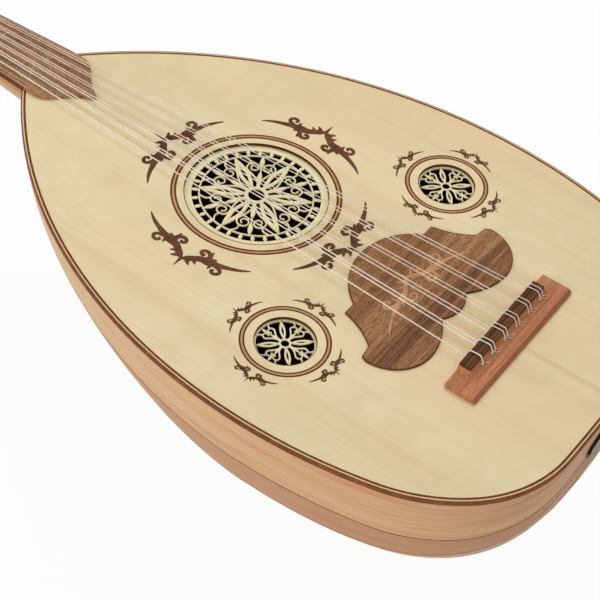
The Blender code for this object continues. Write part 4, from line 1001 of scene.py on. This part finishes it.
def bead(centre, angle, radial, aside, rise):
    """An ellipsoid, long towards the rosette's middle, as rings from one end to the other."""
    turn = np.linspace(0.08, math.pi - 0.08, 9)[:, None]
    roll = np.linspace(0.0, 2 * math.pi, 10, endpoint=False)[None]
    out = -radial * np.cos(turn) + 0.0 * roll
    flat = turned(np.stack([out, aside * np.sin(turn) * np.cos(roll)], axis=-1), angle)
    return np.dstack([flat + centre, DISC_HIGH - 0.0002 + rise * np.sin(turn) * np.sin(roll)])


ROSETTE_WOOD = rosette_wood()
for name, centre in ROSETTES.items():
    field, edge_radius = FIELD[name], FRET_EDGE[name]
    main = name == "main"
    line_width = (0.0011 if main else 0.0009) / field
    lines = wreath(6, line_width, 410.0) if main else wreath(4, line_width, 230.0)
    skins = [strand(centre + field * line, field * widths, CARVED) for line, widths in lines]
    rim = ((edge_radius, DISC_LOW), (edge_radius, DISC_HIGH - 0.0002), (edge_radius + 0.0002, DISC_HIGH),
           (HOLE[name] + 0.004, DISC_HIGH), (HOLE[name] + 0.004, DISC_LOW))
    round_line = lambda radius, centre=centre: circle(centre, radius, 160)
    loops = [strip(round_line, rim), strand(circle(centre, 0.18 * field, 48), 0.07 * field, CARVED, closed=True)]
    if main:
        loops.append(strand(circle(centre, field + 0.00065, 160), 0.0013, CARVED, closed=True))
        for k in range(BEADS):
            angle = 360.0 * k / BEADS
            middle_of_bead = centre + turned((0.04535, 0.0), angle)
            skins.append(bead(middle_of_bead, angle, 0.0029, 0.0015, 0.0009))
    piece(f"fretwork_{name}", ROSETTE_WOOD, skins=skins, loops=loops, replaces=["rosette_" + name])
print("fretwork lines in the main rosette:", len(wreath(6, 0.03, 410.0)))

# %% [markdown]
# The pickguard is a thin plate of brown wood. Half its outline is a chain of arcs: a round top, a
# short step, a hollow side, a horn, a large lobe and the skirt that swings back to the middle. Its
# grain runs across the oud, with a dark band of heartwood that slopes a little.

# %% Pickguard


def arc(centre, radius, first, last, steps):
    """Points of an arc between two angles in degrees."""
    angle = np.radians(np.linspace(first, last, steps))
    return np.asarray(centre) + radius * np.column_stack([np.cos(angle), np.sin(angle)])


def arc_between(start, end, radius, steps):
    """An arc from one point to the next that bulges to the right of the way between them."""
    start, end = np.array(start), np.array(end)
    chord = end - start
    length = np.linalg.norm(chord)
    centre = (start + end) / 2 + np.array([-chord[1], chord[0]]) / length * math.sqrt(radius ** 2 - length ** 2 / 4)
    first = math.degrees(math.atan2(*(start - centre)[::-1]))
    return arc(centre, radius, first, first + math.degrees(2 * math.asin(length / 2 / radius)), steps)


def guard_outline():
    """The whole outline, from the centre of the main rosette."""
    shoulder = -0.0943 - 0.0530 + math.sqrt(0.0530 ** 2 - 0.0445 ** 2)
    skirt = -0.1537 - 0.03175 + 0.0506
    cusp = skirt - math.sqrt(0.0506 ** 2 - (0.0498 - 0.0159) ** 2)
    tip = cusp + math.sqrt(0.0249 ** 2 - 0.0159 ** 2)
    start = math.degrees(math.atan2(shoulder + 0.1473, 0.0445))
    swing = math.degrees(math.atan2(cusp - skirt, 0.0159 - 0.0498))
    parts = [arc((0.0, -0.1473), 0.0530, 90.0, start, 40),
             [(0.0551, shoulder)],
             arc_between((0.0551, shoulder), (0.0697, -0.1483), 0.060, 16)[1:],
             [(0.0797, -0.1498)],
             arc((0.0498, -0.1537), 0.03175, 0.0, -90.0, 30),
             arc((0.0498, skirt), 0.0506, -90.0, swing, 24)[1:],
             arc((0.0, tip), 0.0249, -90.0 + math.degrees(math.asin(0.0159 / 0.0249)), -90.0, 12)[1:]]
    right = np.vstack(parts)
    return np.vstack([right, right[-2:0:-1] * [-1.0, 1.0]])


def guard_finish():
    """Walnut with its grain along X, and a dark band between two lines that slope to one side."""
    finish = Finish("pickguard_walnut", 0.5, 0.02, gleam=0.08)
    x, y, z = finish.axes()
    fine = finish.noise((30, 1500, 900), 3.0)
    broad = finish.noise((3.5, 260, 60), 3.0, (1.0, 2.0, 0.0))
    slow = finish.noise((2.0, 34, 10), 2.0, (5.0, 1.0, 0.0))
    tone = (0.30 * fine + 0.42 * broad + 0.28 * slow - 0.5) * 2.6 + 0.5
    plain = finish.mix(tone.between(0.0, 1.0), colour(190, 138, 92), colour(122, 76, 42))
    pores = finish.noise((260, 2600, 900), 2.0, (6.0, 1.0, 3.0)).between(0.50, 0.62)
    flecks = finish.noise((230, 2400, 900), 2.0, (2.0, 9.0, 5.0)).between(0.56, 0.70)
    flecked = finish.mix(0.35 * flecks, plain, colour(206, 156, 106))
    pored = finish.mix(0.65 * pores, flecked, colour(70, 40, 20))
    height = y - (float(ROSETTES["main"][1]) - 2.66 * RING) + 0.075 * x + 0.006 * (slow - 0.5)
    streaks = finish.noise((2.2, 700, 60), 3.0, (2.0, 7.0, 1.0)).between(0.40, 0.62)
    tailward = (1.0 - height.between(0.008, 0.010)) * (0.25 + 0.75 * height.between(-0.030, 0.004))
    dark = tailward * (0.35 + 0.65 * streaks)
    finish.set("Base Color", finish.mix(0.68 * dark, pored, colour(64, 34, 16)))
    finish.set("Roughness", 0.42 + 0.12 * fine)
    finish.relief(fine, 0.00005)
    return finish


GUARD_LOW, GUARD_HIGH = (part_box("pickguard")[side].z for side in (0, 1))
guard_line = guard_outline() + ROSETTES["main"]
flat_plate("guard_plate", [guard_line], GUARD_LOW, GUARD_HIGH - GUARD_LOW, guard_finish(),
           replaces=["pickguard"])


def guard_place(out, aside):
    """The scroll's place on the pickguard: its tip points to the neck."""
    return ROSETTES["main"] + RING * np.column_stack([1.16 * aside, out - 3.46])


# painted shade: a thin dark strip round the pickguard's outline stands in for the shadow along its edge
guard_shade_rim = strand(guard_line, 0.0006, flat_profile(TOP + 0.00005, GUARD_HIGH + 0.00002), closed=True)
piece("guard_shade_edge", DARK, loops=[guard_shade_rim])
PALE = wood("inlay_pale", colour(212, 162, 118), colour(180, 126, 84), (600, 600, 600), (90, 90, 90), 2.4,
            coat=0.0, gleam=0.1)
pale_profile = lambda k: flat_profile(GUARD_HIGH - 0.0004, GUARD_HIGH + 0.00004 + 0.00001 * k)
piece("guard_scroll", PALE, skins=scroll_strands(guard_place, pale_profile, 0.62))
print("pickguard with", len(guard_line), "points")

# %% [markdown]
# Eleven strings run from their pegs over the nut and down the face: one single bass string and five
# pairs. At the bridge each goes through its hole, comes back over the cap in a loop that bows a
# little to the treble side, and is tied under itself. Its cut end points away behind the cap. A
# string is a ring of points carried along its path. The ring must not twist, so each step turns it
# just enough to follow the path: the old sideways direction, with its part along the path taken off.

# %% Strings
STRING_RADII = (0.00050, 0.00045, 0.00045, 0.00040, 0.00040, 0.00036,
                0.00036, 0.00036, 0.00036, 0.00033, 0.00033)
WOUND = 5                    # bass strings overspun with wire
COURSES = (-0.0375, -0.0232, -0.0068, 0.0087, 0.0250, 0.0412)
AT_BRIDGE = [COURSES[0]] + [x + side * 0.0018 for x in COURSES[1:] for side in (-1, 1)]
NUT_COURSES = np.linspace(-0.0128, 0.0128, 6)
AT_NUT = [NUT_COURSES[0]] + [x + side * 0.0009 for x in NUT_COURSES[1:] for side in (-1, 1)]
NUT_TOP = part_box("nut")[1].z
HOLE_Z = TOP + 0.0058
CAP_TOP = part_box("bridge_cap")[1].z
CAP_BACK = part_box("bridge_cap")[0].y
PEGS = {joint["child"]: np.array(joint["pos_m"]) for joint in frame["joints"]}
TURNS = 2


def peg_span(node):
    """Side of a peg's head, and half the width of the pegbox there, from the box of its solid."""
    low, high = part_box(node)
    side = 1.0 if high.x > -low.x else -1.0
    return side, min(high.x, -low.x) - 0.0015


def shank_radius(node, x):
    """A peg gets thicker from its tip to its head."""
    side, wide = peg_span(node)
    return 0.0034 + 0.0008 * (side * x + wide) / (2 * wide)


def winding(node, start, radius):
    """A helix of two turns round a peg, from where the string meets it."""
    side, wide = peg_span(node)
    u, v = (PEGS[node] - CORNER) @ ALONG, (PEGS[node] - CORNER) @ OUT
    pitch = 2 * radius + 0.0005
    lane = side * min(side * start[0], wide - 0.0042 - radius - GAP - TURNS * pitch)
    along = np.linspace(0.0, TURNS, TURNS * 20 + 1)
    x = lane + side * pitch * along
    away = shank_radius(node, x) + GAP + radius
    slope = math.atan2(start[1] - (v + away[0]), u)
    turn = math.pi / 2 + slope - 2 * math.pi * along
    flat = np.outer(u + away * np.cos(turn), ALONG) + np.outer(v + away * np.sin(turn), OUT)
    return CORNER + flat + np.outer(x, (1.0, 0.0, 0.0))


def tube(path, radius, sides=8):
    """Rings round a path through space, without twist."""
    path = np.asarray(path, float)
    ahead = np.gradient(path, axis=0)
    ahead /= np.linalg.norm(ahead, axis=1)[:, None]
    aside = np.cross(ahead[0], (0.0, 0.0, 1.0))
    aside = np.array([1.0, 0.0, 0.0]) if np.linalg.norm(aside) < 0.1 else aside
    roll = np.linspace(0.0, 2 * math.pi, sides, endpoint=False)[:, None]
    rings = []
    for point, way in zip(path, ahead):
        aside = aside - way * np.dot(aside, way)
        aside /= np.linalg.norm(aside)
        rings.append(point + radius * (np.cos(roll) * aside + np.sin(roll) * np.cross(way, aside)))
    return np.array(rings)


def string_finish(name, wound):
    """Clear pale nylon, or fine wire round it, which is a row of small waves along the string."""
    finish = Finish(name, 0.40, 0.05, 0.35 if wound else 0.0, 0.4)
    x, y, z = finish.axes()
    cloudy = finish.noise((60, 30, 60), 2.0).between(0.3, 0.7)
    if wound:
        waves = finish.math("SINE", 30000.0 * (y - 0.6 * z)) * 0.5 + 0.5
        finish.set("Base Color", finish.mix(0.5 * waves + 0.5 * cloudy, colour(204, 192, 176), colour(238, 230, 218)))
        finish.relief(waves, 0.00003)
    else:
        finish.set("Base Color", finish.mix(cloudy, colour(232, 220, 202), colour(212, 198, 178)))
    return finish


WIRE, NYLON = string_finish("string_wound", True), string_finish("string_nylon", False)
for i, (x_nut, x_bridge, radius) in enumerate(zip(AT_NUT, AT_BRIDGE, STRING_RADII)):
    peg = f"peg_{(2 * i if i < 6 else 2 * (10 - i) + 1) + 1:02d}"
    ride = radius + GAP
    turns = winding(peg, (x_nut, NUT_TOP - TOP + ride), radius)[::-1]
    run = [(x_nut, NUT_Y + 0.001, NUT_TOP + ride - 0.0004), (x_nut, NUT_Y - 0.001, NUT_TOP + ride),
           (x_nut, NUT_Y - 0.003, NUT_TOP + ride), (x_nut, NUT_Y - 0.006, NUT_TOP + ride - 0.00001)]
    run = np.vstack([run, np.linspace(run[-1], (x_bridge, BRIDGE_Y + 0.004, HOLE_Z), 12)[1:]])
    loop = np.array([(BRIDGE_Y - 0.002, 0.0), (CAP_BACK - 0.0022, 0.0), (CAP_BACK - 0.0030, 0.0009),
                     (CAP_BACK - 0.0022, 0.0024), (CAP_BACK - 0.0007, CAP_TOP - HOLE_Z - 0.0008),
                     (CAP_BACK + 0.0006, CAP_TOP - HOLE_Z + ride), (CAP_BACK + 0.0040, CAP_TOP - HOLE_Z + ride + 0.0002),
                     (BRIDGE_Y - 0.0006, CAP_TOP - HOLE_Z + ride), (BRIDGE_Y + 0.0008, CAP_TOP - HOLE_Z - 0.0006),
                     (BRIDGE_Y + 0.0010, 0.0016), (BRIDGE_Y + 0.0014, 0.0010)])
    bow = 0.0019 * np.sin(np.pi * np.clip(np.arange(len(loop)) - 2.0, 0.0, 7.0) / 7.0)
    loop = np.column_stack([x_bridge + bow, loop[:, 0], HOLE_Z + loop[:, 1]])
    path = np.vstack([turns, run, through(loop, 5)])
    way = 0.6 + 0.25 * math.sin(2.3 * i)
    tail = [(x_bridge - 0.0006, CAP_BACK - 0.0016, HOLE_Z + 0.0012), (x_bridge + 0.0012, CAP_BACK - 0.0026, HOLE_Z + 0.0016),
            (x_bridge + 0.0040, CAP_BACK - 0.0032 - 0.0008 * way, HOLE_Z - 0.0002),
            (x_bridge + 0.0066, CAP_BACK - 0.0036 - 0.0024 * way, HOLE_Z - 0.0010)]
    wound = i < WOUND
    piece(f"string_run_{i + 1:02d}", WIRE if wound else NYLON,
          skins=[tube(path, radius), tube(through(tail, 5), 0.55 * radius)], replaces=[f"string_{i + 1:02d}"], sharp=60.0)
print("strings: 11, of which wound:", WOUND)

# %% [markdown]
# A tuning peg is turned on a lathe as far as its collar, and its head is then cut flat. So its rings
# are ellipses: round on the shank, wide and thin on the head. Each peg rides on its own body, round
# the place that the frame gives for its joint.

# %% Pegs
HEAD = 0.022
PROFILE = ((0.0000, 0.0036, 0.0036), (0.0015, 0.0030, 0.0030), (0.0060, 0.0033, 0.0033), (0.0072, 0.0050, 0.0050),
           (0.0080, 0.0053, 0.0053), (0.0090, 0.0053, 0.0053), (0.0098, 0.0049, 0.0049), (0.0104, 0.0037, 0.0037),
           (0.0130, 0.0040, 0.0033), (0.0160, 0.0062, 0.0031), (0.0200, 0.0080, 0.0029), (0.0240, 0.0085, 0.0026),
           (0.0280, 0.0079, 0.0023), (0.0305, 0.0064, 0.0020), (0.0317, 0.0040, 0.0015), (0.0320, 0.0010, 0.0008))


def peg_rings(node):
    """Rings of a peg from its tip to the end of its head."""
    side, wide = peg_span(node)
    shank = [(x, shank_radius(node, side * x), shank_radius(node, side * x))
             for x in np.linspace(-wide - 0.0012, wide, 12)]
    tip = [(-wide - 0.0015, 0.0022, 0.0022)]
    head = through([(wide + 0.0004 + out, across, thick) for out, across, thick in PROFILE], 4)
    along, across, thick = np.vstack([tip, shank, head]).T
    along = np.minimum(along, wide + 0.010 + HEAD)
    roll = np.linspace(0.0, 2 * math.pi, 28, endpoint=False)
    rings = (side * along[:, None, None] * np.array([1.0, 0.0, 0.0])
             + (across[:, None] * np.cos(roll))[..., None] * ALONG
             + (thick[:, None] * np.sin(roll))[..., None] * OUT)
    return PEGS[node] + rings


PEG_WOOD = wood("peg_wood", colour(96, 56, 36), colour(48, 26, 16), (30, 900, 900), (5, 160, 160), gloss=0.36, coat=0.3)
for node in PEGS:
    piece("turned_" + node, PEG_WOOD, skins=[peg_rings(node)], body=node, replaces=[node], sharp=50.0)
print("pegs:", len(PEGS))

# %% [markdown]
# The other solids keep the shape they have in the frame and get a finish. The fingerboard has the
# oiled, mottled brown of walnut, with a thin pale line and a dark one along each edge. The board's
# half width is a straight function of Y, so the distance from its edge is one sum. The clasp has a
# dark line along its upper edge. The nut is bone.

# %% Finishes for the other solids


def fingerboard_finish():
    """Brown wood with long dark streaks and short ripples, and two lines along each edge."""
    finish = Finish("fingerboard_wood", 0.5, 0.02, gleam=0.08)
    x, y, z = finish.axes()
    fine = finish.noise((2000, 60, 900), 3.0)
    broad = finish.noise((420, 9, 100), 3.0, (1.0, 2.0, 0.0))
    ripple = finish.noise((420, 700, 100), 2.0, (4.0, 0.0, 2.0))
    tone = (0.34 * fine + 0.36 * broad + 0.30 * ripple - 0.5) * 3.0 + 0.5
    plain = finish.mix(tone.between(0.0, 1.0), colour(192, 148, 108), colour(106, 70, 44))
    slope = (NUT_HALF_WIDTH - HEEL_HALF_WIDTH) / (NUT_Y - NECK_Y)
    from_edge = HEEL_HALF_WIDTH - slope * NECK_Y + slope * y - finish.math("ABSOLUTE", x)
    beyond = y.between(NECK_Y - 0.004, NECK_Y - 0.002)
    pale = from_edge.between(0.0009, 0.0011) * (1.0 - from_edge.between(0.0017, 0.0019)) * beyond
    dark = (1.0 - from_edge.between(0.0009, 0.0011)) * beyond
    striped = finish.mix(0.6 * pale, plain, colour(206, 172, 140))
    finish.set("Base Color", finish.mix(dark, striped, colour(96, 52, 32)))
    finish.set("Roughness", 0.46 + 0.12 * fine)
    finish.relief(fine, 0.00005)
    return finish


def clasp_finish():
    """Grey-brown wood with a black line along the top of the clasp."""
    finish = wood("clasp_face", colour(168, 142, 120), colour(120, 96, 78), (14, 900, 900), (3, 160, 160), gleam=0.1)
    x, y, z = finish.axes()
    face = finish.shader.inputs["Base Color"].links[0].from_socket
    across = finish.math("ABSOLUTE", x)
    upper = finish.math("MAXIMUM", 0.0080 + 0.325 * across, 0.0044 + 0.515 * across)
    below = TOP - upper - z
    rim = 1.0 - below.between(0.0015, 0.0018)
    side = across.between(0.0292, 0.0295) * (1.0 - below.between(0.006, 0.0064))
    black = finish.math("MAXIMUM", rim, side)
    finish.set("Base Color", finish.mix(black, Value(finish, face), colour(28, 22, 20)))
    return finish


def bridge_finish():
    """Reddish wood with its grain along X, darker on the step along the back edge."""
    finish = wood("bridge_wood", colour(206, 142, 98), colour(158, 94, 56), (30, 1000, 1000), (5, 240, 240), 2.2,
                  coat=0.02, gleam=0.1)
    x, y, z = finish.axes()
    face = finish.shader.inputs["Base Color"].links[0].from_socket
    back = 1.0 - y.between(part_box("bridge_base")[0].y + 0.0020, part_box("bridge_base")[0].y + 0.0026)
    flecks = finish.noise((260, 900, 900), 2.0, (1.0, 3.0, 0.0)).between(0.45, 0.65)
    speckled = finish.mix(0.22 * flecks, Value(finish, face), colour(120, 66, 42))
    finish.set("Base Color", finish.mix(0.5 * back, speckled, colour(128, 66, 38)))
    return finish


BONE = wood("bone", colour(240, 232, 212), colour(222, 210, 186), (300, 300, 300), (40, 40, 40), gloss=0.35, coat=0.2)
SPECIAL = {"fingerboard": fingerboard_finish(), "end_clasp": clasp_finish(), "nut": BONE,
           "bridge_base": bridge_finish(), "bridge_cap": WOODS["cap_wood"]}
SPECIAL.update({node: PEGBOX_WOOD for node in frame["nodes"] if node.startswith("pegbox_")})
for part in frame["record"]["subparts"]:
    obj = frame["nodes"][part["node"]]
    finish = SPECIAL.get(part["node"]) or WOODS.get(part["material_slot"], WOODS["dark_wood"])
    obj.data.materials.clear()
    obj.data.materials.append(finish.material)
faint = lambda k: flat_profile(FINGER_TOP - 0.0003, FINGER_TOP + 0.00004 + 0.00001 * k)
FINGER_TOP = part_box("fingerboard")[1].z
FAINT = wood("inlay_faint", colour(186, 150, 116), colour(160, 120, 88), (600, 600, 600), (90, 90, 90))
skins = []
for height in (3.42, 4.14, 4.86, 5.58):
    def finger_place(out, aside, height=height):
        return ROSETTES["main"] + RING * np.column_stack([0.42 * aside, height + 0.75 * (out - 1.30)])

    skins += scroll_strands(finger_place, faint, 0.35)
piece("fingerboard_scrolls", FAINT, skins=skins)
print("special finishes:", ", ".join(SPECIAL))
